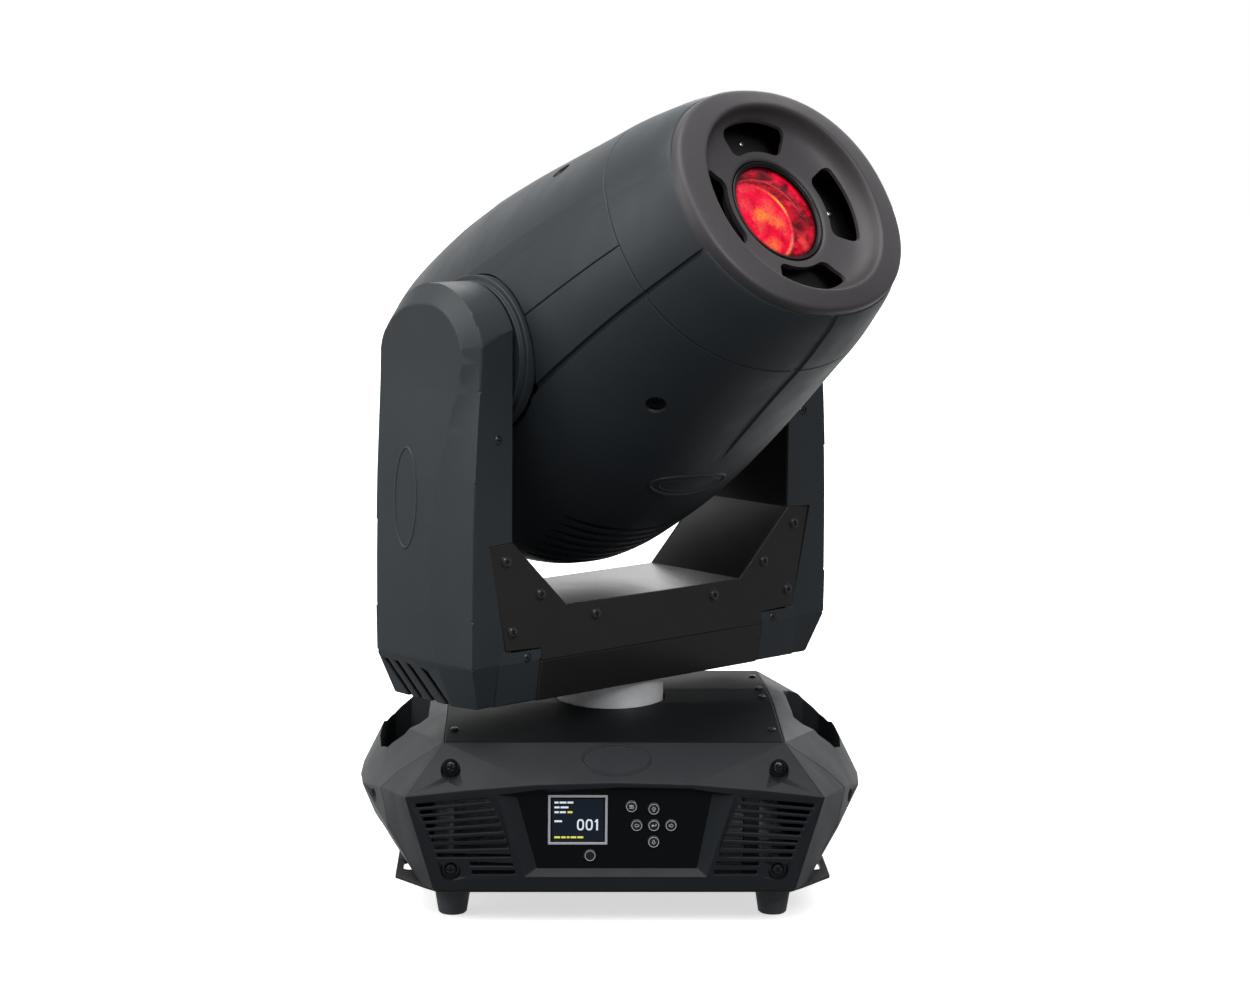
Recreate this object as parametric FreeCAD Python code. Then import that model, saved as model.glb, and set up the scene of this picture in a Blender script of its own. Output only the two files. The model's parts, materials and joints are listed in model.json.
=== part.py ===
import FreeCAD, Part
import os, math

# Moving head spotlight: base, pan yoke and tilting head, millimetres.
# Origin: pan axis on the floor under the feet. Base front faces -Y, +Z up.

V = FreeCAD.Vector
os.makedirs("parts", exist_ok=True)

# ------------------------------------------------------------------ dimensions
PAN_DEG = 41.16          # yoke turned about +Z at rest
TILT_DEG = 32.1          # beam elevation above the horizontal at rest
TILT_Z = 447.0           # height of the tilt axis

# base
BASE_X = 135.4           # half width of the top cover
BASE_Y = 144.3           # half depth of the top cover
BAND_Z = 143.2           # height of the band's top edge
FRONT_Y = 176.0          # half depth of the base at the control panel
BAND_LOW_Z = 106.0       # height of the band's lower edge
TOP_Z = 150.5            # flat centre of the top cover
PLATE_Z0, PLATE_Z1 = 28.0, 31.0
FOOT_X, FOOT_Y, FOOT_R0, FOOT_R1 = 129.0, 128.5, 11.5, 16.0
EAR_X, EAR_Y, EAR_SLOT_L, EAR_SLOT_R = 164.0, 100.0, 30.0, 5.5
LOCK_X, LOCK_Y, LOCK_R = 53.0, 112.0, 6.0
WALL = 3.0

# pan drive
COLLAR_R, COLLAR_BORE = 44.8, 28.0
SHAFT_R, RUN_CLEAR = 40.0, 0.05
BEARING_R = 52.0
PAN_PULLEY_R, PAN_DRIVE_R = 60.0, 12.0
PAN_MOTOR = (78.0, 66.0)
MOTOR_SIZE = 56.4

# yoke (local frame: x along the arms, -y to the yoke's front)
ARM_IN = 156.2           # inner faces of the arms
SHEET = 2.0
FLOOR_Z, SLOPE_X, SLOPE_Z = 247.0, 98.4, 303.0
YOKE_FRONT = 55.0
YOKE_BOT = 171.0
FOOT_SEAM = 125.6
POD_Z = [(172.0, 187.0, 192.5, 24.0, 47.5, 48.5), (207.0, 200.0, 204.0, 19.0, 53.5, 57.5),
         (245.0, 200.0, 204.5, 13.0, 54.0, 58.0), (285.0, 199.5, 204.5, 10.0, 54.0, 58.0),
         (313.0, 199.0, 204.0, 12.0, 54.0, 58.0), (353.0, 197.5, 203.0, 17.0, 54.0, 58.0),
         (394.0, 195.0, 201.0, 28.0, 54.0, 58.0), (425.0, 192.5, 199.5, 38.0, 54.0, 58.0),
         (447.0, 191.0, 199.0, 42.5, 54.0, 58.0)]
POD_TOP_R = 59.2
TRUNNION_R, TILT_BEARING_R = 20.0, 30.0
TILT_PULLEY_R, TILT_DRIVE_R = 40.0, 10.0
TILT_MOTOR_Z = 345.0

# head (local frame: x along the tilt axis, y up when level, z along the beam)
# station along the beam, half width, half height, corner exponent
HEAD = [(-182.0, 88.0, 70.0, 2.6), (-176.0, 99.0, 86.0, 2.5), (-160.0, 116.0, 111.0, 2.4),
        (-134.0, 134.0, 136.0, 2.3), (-119.0, 140.0, 143.5, 2.25), (-80.0, 145.5, 148.5, 2.2),
        (-40.0, 147.5, 149.0, 2.2), (0.0, 147.5, 146.5, 2.2), (50.0, 147.0, 139.3, 2.2),
        (100.0, 144.0, 129.8, 2.2), (146.0, 138.5, 121.0, 2.2), (175.0, 133.0, 116.2, 2.2),
        (205.0, 124.0, 109.0, 2.2), (226.0, 116.5, 102.8, 2.2), (233.0, 112.5, 99.5, 2.2)]
NOSE_L = 175.0
HEAD_SPLIT = 0.0
RING_FRONT = 241.9
DISH_W, DISH_H = 88.6, 85.4
LENS_R, LENS_L = 40.3, 219.5
KEY_R, KEY_TRAVEL = 5.2, 0.8
WHEEL_X, WHEEL_R = 56.0, 73.0
SLOT_R0, SLOT_R1, SLOT_HALF = 51.0, 75.5, 29.0

# ------------------------------------------------------------------ helpers
PAN_M = FreeCAD.Placement(V(0, 0, 0), FreeCAD.Rotation(V(0, 0, 1), PAN_DEG))
_t = math.radians(TILT_DEG)
# head local (u, m, n) to yoke local (x, y, z)
HEAD_M = FreeCAD.Placement(FreeCAD.Matrix(
    1, 0, 0, 0,
    0, math.sin(_t), -math.cos(_t), 0,
    0, math.cos(_t), math.sin(_t), TILT_Z,
    0, 0, 0, 1))


def place(shape, frame):
    s = shape.copy()
    if frame == "head":
        s.Placement = PAN_M.multiply(HEAD_M).multiply(s.Placement)
    elif frame == "yoke":
        s.Placement = PAN_M.multiply(s.Placement)
    return s


def save(name, shape, frame="base"):
    s = place(shape, frame)
    solids = s.Solids
    if not solids:
        raise RuntimeError("no solid in " + name)
    out = solids[0] if len(solids) == 1 else Part.makeCompound(solids)
    ok = all(q.isValid() for q in solids)
    out.exportStep("parts/%s.step" % name)
    print("%-22s solids %2d volume %10.0f %s" % (name, len(solids), sum(q.Volume for q in solids), "" if ok else "INVALID"))


def box(x0, x1, y0, y1, z0, z1):
    return Part.makeBox(x1 - x0, y1 - y0, z1 - z0, V(x0, y0, z0))


def cyl(c, r, d, h):
    return Part.makeCylinder(r, h, V(*c), V(*d))


def poly(pts):
    return Part.makePolygon([V(*p) for p in pts] + [V(*pts[0])])


def prism(pts, vec):
    return Part.Face(poly(pts)).extrude(V(*vec))


def prism_xy(pts, z0, z1):
    return prism([(x, y, z0) for x, y in pts], (0, 0, z1 - z0))


def prism_xz(pts, y0, y1):
    return prism([(x, y0, z) for x, z in pts], (0, y1 - y0, 0))


def prism_yz(pts, x0, x1):
    return prism([(x0, y, z) for y, z in pts], (x1 - x0, 0, 0))


def fuse(items):
    s = items[0]
    if len(items) > 1:
        s = s.multiFuse(items[1:])
    return s.removeSplitter()


def mirror_x(s):
    return s.mirror(V(0, 0, 0), V(1, 0, 0))


def mirror_y(s):
    return s.mirror(V(0, 0, 0), V(0, 1, 0))


def convex(points):
    # closed solid of the planar faces around a set of points
    pts = []
    for p in points:
        q = V(*p)
        if all((q - r).Length > 1e-6 for r in pts):
            pts.append(q)
    n = len(pts)
    faces, seen = [], set()
    for i in range(n):
        for j in range(i + 1, n):
            for k in range(j + 1, n):
                nm = (pts[j] - pts[i]).cross(pts[k] - pts[i])
                if nm.Length < 1e-6:
                    continue
                nm.normalize()
                d = [nm.dot(p - pts[i]) for p in pts]
                if max(d) > 1e-5 and min(d) < -1e-5:
                    continue
                if min(d) < -1e-5:
                    pass
                else:
                    nm = nm * -1
                on = tuple(q for q in range(n) if abs(d[q]) <= 1e-5)
                if on in seen:
                    continue
                seen.add(on)
                c = V(0, 0, 0)
                for q in on:
                    c = c + pts[q]
                c = c * (1.0 / len(on))
                ax = (pts[on[0]] - c)
                ax.normalize()
                ay = nm.cross(ax)
                order = sorted(on, key=lambda q: math.atan2((pts[q] - c).dot(ay), (pts[q] - c).dot(ax)))
                faces.append(Part.Face(Part.makePolygon([pts[q] for q in order] + [pts[order[0]]])))
    s = Part.Solid(Part.Shell(faces))
    if s.Volume < 0:
        s.reverse()
    return s


def super_pts(w, h, p, n=28, z=0.0):
    out = []
    for i in range(n):
        a = 2 * math.pi * (i + 0.5) / n
        c, s = math.cos(a), math.sin(a)
        r = (abs(c / w) ** p + abs(s / h) ** p) ** (-1.0 / p)
        out.append(V(r * c, r * s, z))
    return out


def super_wire(w, h, p, z):
    b = Part.BSplineCurve()
    b.interpolate(super_pts(w, h, p, 28, z), PeriodicFlag=True)
    return Part.Wire([b.toShape()])


def super_loft(stations, ruled=False):
    return Part.makeLoft([super_wire(w, h, p, z) for z, w, h, p in stations], True, ruled)


def belt(c1, r1, c2, r2, thick, z0, z1):
    # open belt loop round two pulleys, in the xy plane
    dx, dy = c2[0] - c1[0], c2[1] - c1[1]
    d = math.hypot(dx, dy)
    base = math.atan2(dy, dx)

    def loop(e):
        a = math.acos((r1 - r2) / d)
        t = []
        for s in (1, -1):
            for c, r in ((c1, r1 + e), (c2, r2 + e)):
                t.append((c[0] + r * math.cos(base + s * a), c[1] + r * math.sin(base + s * a)))
        quad = prism_xy([t[0], t[1], t[3], t[2]], z0, z1)
        return fuse([quad, cyl((c1[0], c1[1], z0), r1 + e, (0, 0, 1), z1 - z0), cyl((c2[0], c2[1], z0), r2 + e, (0, 0, 1), z1 - z0)])
    return loop(thick).cut(loop(0.0))


def screw(c, d, head_r=5.0, head_h=3.2, shank_r=2.0, shank_l=8.0):
    # button head with a hex socket; c is under the head, d points out of the surface
    dv = V(*d)
    dv.normalize()
    h = Part.makeCylinder(head_r, head_h * 0.45, V(*c), dv)
    top = Part.makeCone(head_r, head_r * 0.62, head_h * 0.55, V(*c) + dv * (head_h * 0.45), dv)
    sh = Part.makeCylinder(shank_r, shank_l, V(*c) - dv * shank_l, dv)
    s = fuse([h, top, sh])
    a = V(0, 0, 1) if abs(dv.z) < 0.9 else V(1, 0, 0)
    e1 = dv.cross(a)
    e1.normalize()
    e2 = dv.cross(e1)
    ctr = V(*c) + dv * (head_h * 0.4)
    r = head_r * 0.42
    ps = [ctr + e1 * (r * math.cos(k * math.pi / 3)) + e2 * (r * math.sin(k * math.pi / 3)) for k in range(6)]
    sock = Part.Face(Part.makePolygon(ps + [ps[0]])).extrude(dv * head_h)
    return s.cut(sock)


# ------------------------------------------------------------------ base shell
side = [(BASE_X, BASE_Y, BAND_Z), (BASE_X, 30, TOP_Z), (165, FRONT_Y, BAND_LOW_Z), (187, 118, 100), (182, 124, 69),
        (166, 130, 45), (151, 160, PLATE_Z0), (143, FRONT_Y, 32), (140, 172, PLATE_Z0),
        (186, 22, 134), (209, 20, 88), (205, 64, 90), (197, 20, 54), (158, 20, PLATE_Z0),
        (118, FRONT_Y, 111.2), (62, FRONT_Y, 116.0), (0, FRONT_Y, 117.8)]
hull_pts = [(sx * x, sy * y, z) for x, y, z in side for sx in (1, -1) for sy in (1, -1)]
outer = convex(hull_pts)
CX, CYS, CZ = 1 - WALL / 205.0, 1 - WALL / FRONT_Y, 1 - WALL / 57.0
inner = convex([(x * CX, y * CYS, 88 + (z - 88) * CZ) for x, y, z in hull_pts])
above = box(-230, 230, -200, 200, PLATE_Z1, 200)
outer_up = outer.common(above)
shell = outer_up.cut(inner)

# seam planes between the front or rear cover and the handle covers
P1, S1, K1 = V(BASE_X, -BASE_Y, BAND_Z), V(187, -118, 100), V(151, -160, 28)
nrm = (S1 - P1).cross(K1 - P1)
nrm.normalize()
if nrm.y > 0:
    nrm = nrm * -1


def wedge_front():
    # region in front of the seam, right-hand corner
    e1 = (S1 - P1)
    e1.normalize()
    e2 = nrm.cross(e1)
    c = P1
    ps = [c + e1 * a + e2 * b for a, b in ((-300, -300), (300, -300), (300, 300), (-300, 300))]
    slab = Part.Face(Part.makePolygon(ps + [ps[0]])).extrude(nrm * 200)
    return slab.common(box(BASE_X, 260, -230, -60, 0, 200))


wf = wedge_front()
front_region = fuse([box(-BASE_X, BASE_X, -200, -BASE_Y, 0, 200), wf, mirror_x(wf)])
rear_region = mirror_y(front_region)
right_region = box(BASE_X, 260, -200, 200, 0, 200).cut(wf).cut(mirror_y(wf))
left_region = mirror_x(right_region)

# recessed cover screws, front and rear
SCREWS_UP = (129.8, 124.2, 151.0)      # x, z, depth of the seat from the pan axis
SCREWS_LO = (129.5, 46.0, 168.0)
bosses, recesses, scr = [], [], []
for sx in (1, -1):
    for (x, z, y) in (SCREWS_UP, SCREWS_LO):
        bosses.append(cyl((sx * x, -y + 9, z), 10.5, (0, -1, 0), 40))
        recesses.append(cyl((sx * x, -y, z), 7.9, (0, -1, 0), 40))
        recesses.append(cyl((sx * x, -y + 20, z), 2.0, (0, -1, 0), 40))
        scr.append(screw((sx * x, -y, z), (0, -1, 0), 5.2, 3.4, 2.0, 8.5))
boss_f = fuse([b.common(outer_up) for b in bosses])

PANEL = [(-77.3, 104.9), (-61.4, 47.4), (65.2, 47.4), (76.6, 107.5), (60.0, 110.3), (0.0, 111.0), (-60.0, 107.6)]
POCKET = [(-93.5, 107.5), (-71.5, 41.6), (73.0, 41.5), (94.5, 107.8), (60.0, 112.6), (0.0, 113.6), (-60.0, 112.2)]
PANEL_Y0, PANEL_Y1 = -170.5, -167.5


def lofted_prism(a, ya, b, yb):
    return Part.makeLoft([poly([(x, ya, z) for x, z in a]), poly([(x, yb, z) for x, z in b])], True, True)


front = shell.common(front_region)
pocket_block = prism_xz([(x * 1.035, 78 + (z - 78) * 1.09) for x, z in POCKET], -175.0, PANEL_Y1).common(outer_up)
front = fuse([front, pocket_block, boss_f])
front = front.cut(lofted_prism([(x * 1.004, 78 + (z - 78) * 1.01) for x, z in POCKET], -176.4, PANEL, PANEL_Y0))
front = front.cut(prism_xz([(x, z) for x, z in POCKET], -200, -176.0))
front = front.cut(prism_xz(PANEL, -172.0, -160.0))
for r_ in recesses:
    front = front.cut(r_)

LOUVRES = [((-156.5, 98.9), (-100.1, 104.0)), ((-153.4, 93.4), (-96.1, 98.2)), ((-151.0, 87.9), (-93.8, 92.4)),
           ((-148.7, 82.3), (-91.4, 86.4)), ((-146.3, 76.7), (-89.0, 80.0)), ((-144.4, 70.7), (-86.8, 73.4)),
           ((-142.2, 65.0), (-84.5, 66.6)), ((-140.1, 58.8), (-82.0, 59.4)), ((-114.1, 52.1), (-80.3, 52.1)),
           ((-112.5, 45.2), (-78.7, 45.2))]
LOUVRE_H = 3.0


def louvre_cut(y0, y1):
    out = []
    for (xa, za), (xb, zb) in LOUVRES:
        h = LOUVRE_H / 2
        q = prism_xz([(xa, za - h), (xb, zb - h), (xb, zb + h), (xa, za + h)], y0, y1)
        out += [q, mirror_x(q)]
    return Part.makeCompound(out)


front = front.cut(louvre_cut(-190, -168.5))
save("base_front_cover", front)

# rear cover: same shell with a connector opening
rear = shell.common(rear_region)
rear = fuse([rear, mirror_y(boss_f)])
for r_ in recesses:
    rear = rear.cut(mirror_y(r_))
REAR_OPEN = [(-72, 108), (-72, 40), (72, 40), (72, 108)]
rear = rear.cut(prism_xz(REAR_OPEN, 165, 190)).cut(mirror_y(louvre_cut(-190, -168.5)))
save("base_rear_cover", rear)

# handle covers: shell, a grip opening with its own wall, recessed side screws
GRIP = [(151, -52), (157, -66), (170, -72), (184, -66), (190, -50), (192.5, -20), (192.5, 20), (190, 50), (184, 66),
        (170, 72), (157, 66), (151, 52)]
GRIP_OUT = [(147.8, -53), (155, -68.6), (169.4, -75.2), (186.2, -68.4), (193.2, -51), (195.6, -20), (195.6, 20),
            (193.2, 51), (186.2, 68.4), (169.4, 75.2), (155, 68.6), (147.8, 53)]
SIDE_SCREW = (96.0, 88.0, 188.0)       # y, z, seat
grip_wall = prism_xy(GRIP_OUT, 0, 200).common(outer_up)
handle = fuse([shell.common(right_region), grip_wall])
for sy in (1, -1):
    handle = fuse([handle, cyl((178, sy * SIDE_SCREW[0], SIDE_SCREW[1]), 8.0, (1, 0, 0), 40).common(outer_up).common(right_region)])
handle = handle.cut(prism_xy(GRIP, 0, 200))
for sy in (1, -1):
    handle = handle.cut(cyl((SIDE_SCREW[2], sy * SIDE_SCREW[0], SIDE_SCREW[1]), 5.6, (1, 0, 0), 40))
    handle = handle.cut(cyl((170, sy * SIDE_SCREW[0], SIDE_SCREW[1]), 1.8, (1, 0, 0), 40))
    for sx in (1, -1):
        scr.append(screw((sx * SIDE_SCREW[2], sy * SIDE_SCREW[0], SIDE_SCREW[1]), (sx, 0, 0), 4.2, 2.8, 1.8, 7.0))
save("right_handle_cover", handle)
save("left_handle_cover", mirror_x(handle))
save("base_cover_screws", Part.makeCompound(scr[:4] + [mirror_y(q) for q in scr[:4]] + scr[4:]))

# top cover: folded sheet round the pan collar
cap = outer.common(box(-BASE_X, BASE_X, -BASE_Y, BASE_Y, 130, 200))
low = cap.copy()
low.translate(V(0, 0, -2.0))
top = cap.cut(low).common(box(-200, 200, -200, 200, 138, 200)).cut(cyl((0, 0, 130), 46.6, (0, 0, 1), 40))
TOP_SCREWS = [(128, 30), (128, -5), (128, 100), (128, -110), (40, -134), (-40, -134)]
ts, holes = [], []
for (x, y) in TOP_SCREWS[:4]:
    for sx in (1, -1):
        z = TOP_Z if abs(y) <= 30 else TOP_Z - (abs(y) - 30) * (TOP_Z - BAND_Z) / (BASE_Y - 30)
        holes.append(cyl((sx * x, y, 130), 1.6, (0, 0, 1), 40))
        ts.append(screw((sx * x, y, z + (0.05 if abs(y) <= 30 else 0.28)), (0, 0, 1), 3.2, 1.6, 1.6, 5.0))
for hq in holes:
    top = top.cut(hq)
save("top_cover", top)
save("top_cover_screws", Part.makeCompound(ts))

# base plate with slotted ears and quick-lock holes
q1 = [(140, -172), (151, -160), (175, -130), (175, -24), (158, -14), (158, 14), (175, 24), (175, 130), (151, 160), (140, 172)]
plate = prism_xy(q1 + [(-x, y) for x, y in reversed(q1)], PLATE_Z0, PLATE_Z1)
for sx in (1, -1):
    for sy in (1, -1):
        c = EAR_SLOT_L / 2 - EAR_SLOT_R
        slot = fuse([box(sx * EAR_X - EAR_SLOT_R, sx * EAR_X + EAR_SLOT_R, sy * EAR_Y - c, sy * EAR_Y + c, 20, 40),
                     cyl((sx * EAR_X, sy * EAR_Y - c, 20), EAR_SLOT_R, (0, 0, 1), 20),
                     cyl((sx * EAR_X, sy * EAR_Y + c, 20), EAR_SLOT_R, (0, 0, 1), 20)])
        plate = plate.cut(slot).cut(cyl((sx * LOCK_X, sy * LOCK_Y, 20), LOCK_R, (0, 0, 1), 20))
save("base_plate", plate)

feet = []
for sx in (1, -1):
    for sy in (1, -1):
        f = Part.makeCone(FOOT_R0, FOOT_R1 - 0.4, 25.5, V(sx * FOOT_X, sy * FOOT_Y, 1.2))
        f = fuse([f, Part.makeCone(FOOT_R0 - 1.2, FOOT_R0, 1.2, V(sx * FOOT_X, sy * FOOT_Y, 0)),
                  cyl((sx * FOOT_X, sy * FOOT_Y, 26.7), FOOT_R1, (0, 0, 1), 1.3)])
        f = f.cut(cyl((sx * FOOT_X, sy * FOOT_Y, -1), 4.0, (0, 0, 1), 9))
        feet.append(f)
save("rubber_feet", Part.makeCompound(feet))

# inner frame: bearing plate on four posts, motor bracket hung from it
bp = box(-120, 120, -95, 95, 126, 130)
posts = [box(sx * 114 - 6, sx * 114 + 6, sy * 89 - 6, sy * 89 + 6, PLATE_Z1, 126) for sx in (1, -1) for sy in (1, -1)]
mx, my = PAN_MOTOR
hm = MOTOR_SIZE / 2
brk = box(mx - hm, mx + hm, my - hm, my + 12, 100.5, 103.5).cut(cyl((mx, my, 90), 11, (0, 0, 1), 30))
leg = box(mx - hm, mx - hm + 8, my + 16, my + 20, 100.5, 126)
leg2 = box(mx + 18, mx + hm, my - 26, my - 22, 100.5, 126)
brk = fuse([brk, box(mx - hm, mx - hm + 8, my + 8, my + 20, 100.5, 103.5), leg, leg2])
frame_s = fuse([bp] + posts + [brk]).cut(cyl((0, 0, 100), BEARING_R, (0, 0, 1), 60))
save("base_frame", frame_s)

save("pan_bearing", cyl((0, 0, 123.5), BEARING_R, (0, 0, 1), 12.5).cut(cyl((0, 0, 120), SHAFT_R + RUN_CLEAR, (0, 0, 1), 30)))

motor = box(mx - hm, mx + hm, my - hm, my + hm, 44, 100.5)
motor = motor.makeChamfer(4.0, [e for e in motor.Edges if abs(e.Vertexes[0].Z - e.Vertexes[1].Z) > 50])
motor = motor.cut(cyl((mx, my, 70), 4.0 + RUN_CLEAR, (0, 0, 1), 60))
save("pan_motor", motor)


def toothed(cx, cy, r, z0, z1, n, depth=1.0):
    s = cyl((cx, cy, z0), r, (0, 0, 1), z1 - z0)
    cuts = []
    for k in range(n):
        a = 2 * math.pi * k / n
        w = math.pi * r / n * 0.5
        p = [(r - depth, -w * 0.7), (r + 1, -w), (r + 1, w), (r - depth, w * 0.7)]
        cuts.append(prism_xy([(cx + x * math.cos(a) - y * math.sin(a), cy + x * math.sin(a) + y * math.cos(a)) for x, y in p], z0 - 1, z1 + 1))
    return s.cut(Part.makeCompound(cuts))


pm = fuse([toothed(mx, my, PAN_DRIVE_R, 106, 118, 12), cyl((mx, my, 104.6), 13.2, (0, 0, 1), 1.2), cyl((mx, my, 104.6), 13.2, (0, 0, 1), 1.2),
           cyl((mx, my, 80), 4.0, (0, 0, 1), 40)])
save("pan_motor_pulley", pm)
save("pan_belt", belt((0, 0), PAN_PULLEY_R + 0.35, (mx, my), PAN_DRIVE_R + 0.35, 1.8, 107.0, 117.0))

# electronics in the base
psu = box(-130, -46, -66, 74, 33, 92)
psu_fins = [box(-130 + 8 + 10 * k, -130 + 13 + 10 * k, -66, 74, 86, 93) for k in range(7)]
psu = psu.cut(Part.makeCompound(psu_fins))
save("power_supply", fuse([psu, box(-126, -120, -60, 68, 31, 34), box(-56, -50, -60, 68, 31, 34)]))
bal = box(40, 104, -112, -8, 33, 90)
bal = bal.cut(Part.makeCompound([box(40 + 8 + 11 * k, 40 + 13 + 11 * k, -112, -8, 83, 91) for k in range(5)]))
save("lamp_ballast", fuse([bal, box(46, 52, -106, -14, 31, 34), box(92, 98, -106, -14, 31, 34)]))

# cooling fan behind the rear louvres
FAN_C = (88.4, 146.0, 66.0)
fx, fy, fz = FAN_C
ff = box(fx - 30, fx + 30, fy - 10, fy + 10, fz - 30, fz + 30).cut(cyl((fx, fy - 20, fz), 28.5, (0, 1, 0), 40))
hub = [cyl((fx, fy + 7, fz), 11, (0, 1, 0), 3)]
for k in range(3):
    a = math.radians(90 + 120 * k)
    c_, s_ = math.cos(a), math.sin(a)
    p = [(8, -1.5), (29.5, -1.5), (29.5, 1.5), (8, 1.5)]
    hub.append(prism_xz([(fx + x * c_ - y * s_, fz + x * s_ + y * c_) for x, y in p], fy + 7, fy + 10))
ff = fuse([ff] + hub + [box(fx - 30, fx + 30, fy - 6, fy - 2.5, PLATE_Z1, fz - 29.5)])
save("base_fan_frame", ff)
rot = [cyl((fx, fy - 8, fz), 12, (0, 1, 0), 14)]
for k in range(7):
    a = 2 * math.pi * k / 7
    c_, s_ = math.cos(a), math.sin(a)

    def rr(x, y, off):
        y += off
        return (fx + x * c_ - y * s_, fz + x * s_ + y * c_)
    w1 = poly([(rr(11, -0.8, -4)[0], fy - 7, rr(11, -0.8, -4)[1]), (rr(27, -0.8, -4)[0], fy - 7, rr(27, -0.8, -4)[1]),
               (rr(27, 0.8, -4)[0], fy - 7, rr(27, 0.8, -4)[1]), (rr(11, 0.8, -4)[0], fy - 7, rr(11, 0.8, -4)[1])])
    w2 = poly([(rr(11, -0.8, 4)[0], fy + 5, rr(11, -0.8, 4)[1]), (rr(27, -0.8, 4)[0], fy + 5, rr(27, -0.8, 4)[1]),
               (rr(27, 0.8, 4)[0], fy + 5, rr(27, 0.8, 4)[1]), (rr(11, 0.8, 4)[0], fy + 5, rr(11, 0.8, 4)[1])])
    rot.append(Part.makeLoft([w1, w2], True, True))
save("base_fan_rotor", fuse(rot))

# ------------------------------------------------------------------ control panel
KEYS = {"menu_key": (12.9, 97.2), "up_key": (30.6, 95.2), "left_key": (17.2, 81.9), "enter_key": (30.7, 81.9),
        "right_key": (44.3, 81.9), "down_key": (30.7, 68.5), "display_switch": (-19.5, 57.5)}
BEZ = (-52.8, -5.9, 66.5, 106.5)
cp = prism_xz(PANEL, PANEL_Y0, PANEL_Y1)
cp = cp.cut(box(BEZ[0] + 3.2, BEZ[1] - 3.2, -180, -160, BEZ[2] + 3.2, BEZ[3] - 3.2))
for n_, (x, z) in KEYS.items():
    cp = cp.cut(cyl((x, -180, z), KEY_R + 0.35, (0, 1, 0), 20))
rim = prism_xz([(x * 1.02, 78 + (z - 78) * 1.03) for x, z in PANEL], PANEL_Y1, PANEL_Y1 + 1.2)
cp = fuse([cp, rim.cut(box(BEZ[0] - 2, 52, -168, -160, 49, 106))])
save("control_panel", cp)
bz = box(BEZ[0], BEZ[1], PANEL_Y0 - 0.9, PANEL_Y0, BEZ[2], BEZ[3]).cut(box(BEZ[0] + 1.9, BEZ[1] - 1.9, -180, -160, BEZ[2] + 1.9, BEZ[3] - 1.9))
save("display_bezel", bz)
save("display_screen", fuse([box(BEZ[0] + 3.2, BEZ[1] - 3.2, PANEL_Y0 + 0.2, PANEL_Y1, BEZ[2] + 3.2, BEZ[3] - 3.2),
                             box(BEZ[0] + 1.2, BEZ[1] - 1.2, PANEL_Y1, -165.0, BEZ[2] + 1.2, BEZ[3] - 1.2)]))
pcb = box(-58, 56, -165.0, -163.4, 49.5, 105.5)
pcb = fuse([pcb, box(-44, -14, -163.4, -159.5, 74, 96), box(4, 22, -163.4, -160.5, 60, 78)] +
           [cyl((x, -163.4, z), 3, (0, -1, 0), 2.9) for x, z in ((-55.0, 52.5), (52.5, 52.5), (-55.0, 102.5), (52.5, 102.5))])
save("control_board", pcb)
for n_, (x, z) in KEYS.items():
    k = fuse([cyl((x, PANEL_Y0 - 0.7, z), KEY_R, (0, 1, 0), 3.9), cyl((x, PANEL_Y1 + 0.2, z), 6.3, (0, 1, 0), 0.9)])
    save(n_, k)

# rear connector plate
rp = box(-76, 76, 167.0, 169.0, 69, 112)
XLR = [(-52, 90), (-20, 90), (12, 90), (44, 90)]
for x, z in XLR:
    rp = rp.cut(cyl((x, 160, z), 11.6, (0, 1, 0), 20))
mains_plate = box(-76, -0.2, 167.0, 169.0, 36, 68.7).cut(box(-57, -29, 160, 175, 46, 66))
network_plate = box(0.2, 76, 167.0, 169.0, 36, 68.7).cut(box(33, 49, 160, 175, 48, 62))
save("rear_connector_plate", Part.makeCompound([rp, mains_plate, network_plate]))
dc = []
for x, z in XLR:
    s = fuse([cyl((x, 150, z), 11.6, (0, 1, 0), 19), box(x - 13, x + 13, 169, 171.5, z - 15.5, z + 15.5)])
    s = s.cut(cyl((x, 158, z), 9.2, (0, 1, 0), 20))
    dc.append(s)
rj = fuse([box(33, 49, 150, 169, 48, 62), box(29, 53, 169, 171, 44, 66)]).cut(box(35, 47, 158, 180, 50, 58))
dc.append(rj)
save("data_connectors", Part.makeCompound(dc))
mi = fuse([box(-57, -29, 146, 169, 46, 66), box(-63, -23, 169, 171.5, 42, 70)]).cut(box(-55, -31, 155, 180, 48, 64))
mi = fuse([mi] + [box(x - 1, x + 1, 154, 166, z - 3, z + 3) for x, z in ((-50, 55), (-36, 55), (-43, 59))])
save("mains_inlet", mi)

# ------------------------------------------------------------------ pan shaft and yoke (yoke frame)
sh = fuse([cyl((0, 0, 102), SHAFT_R, (0, 0, 1), 36), cyl((0, 0, 136.6), COLLAR_R, (0, 0, 1), 173.5 - 136.6),
           cyl((0, 0, 173.5), 62, (0, 0, 1), 4.5).common(box(-80, 80, -45.5, 45.5, 170, 180))]).cut(cyl((0, 0, 90), COLLAR_BORE, (0, 0, 1), 100))
save("pan_shaft", sh, "yoke")
pp = fuse([toothed(0, 0, PAN_PULLEY_R, 106, 118, 60), cyl((0, 0, 104.6), 61.2, (0, 0, 1), 1.4)]).cut(cyl((0, 0, 90), SHAFT_R, (0, 0, 1), 60))
save("pan_pulley", pp, "yoke")

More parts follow.
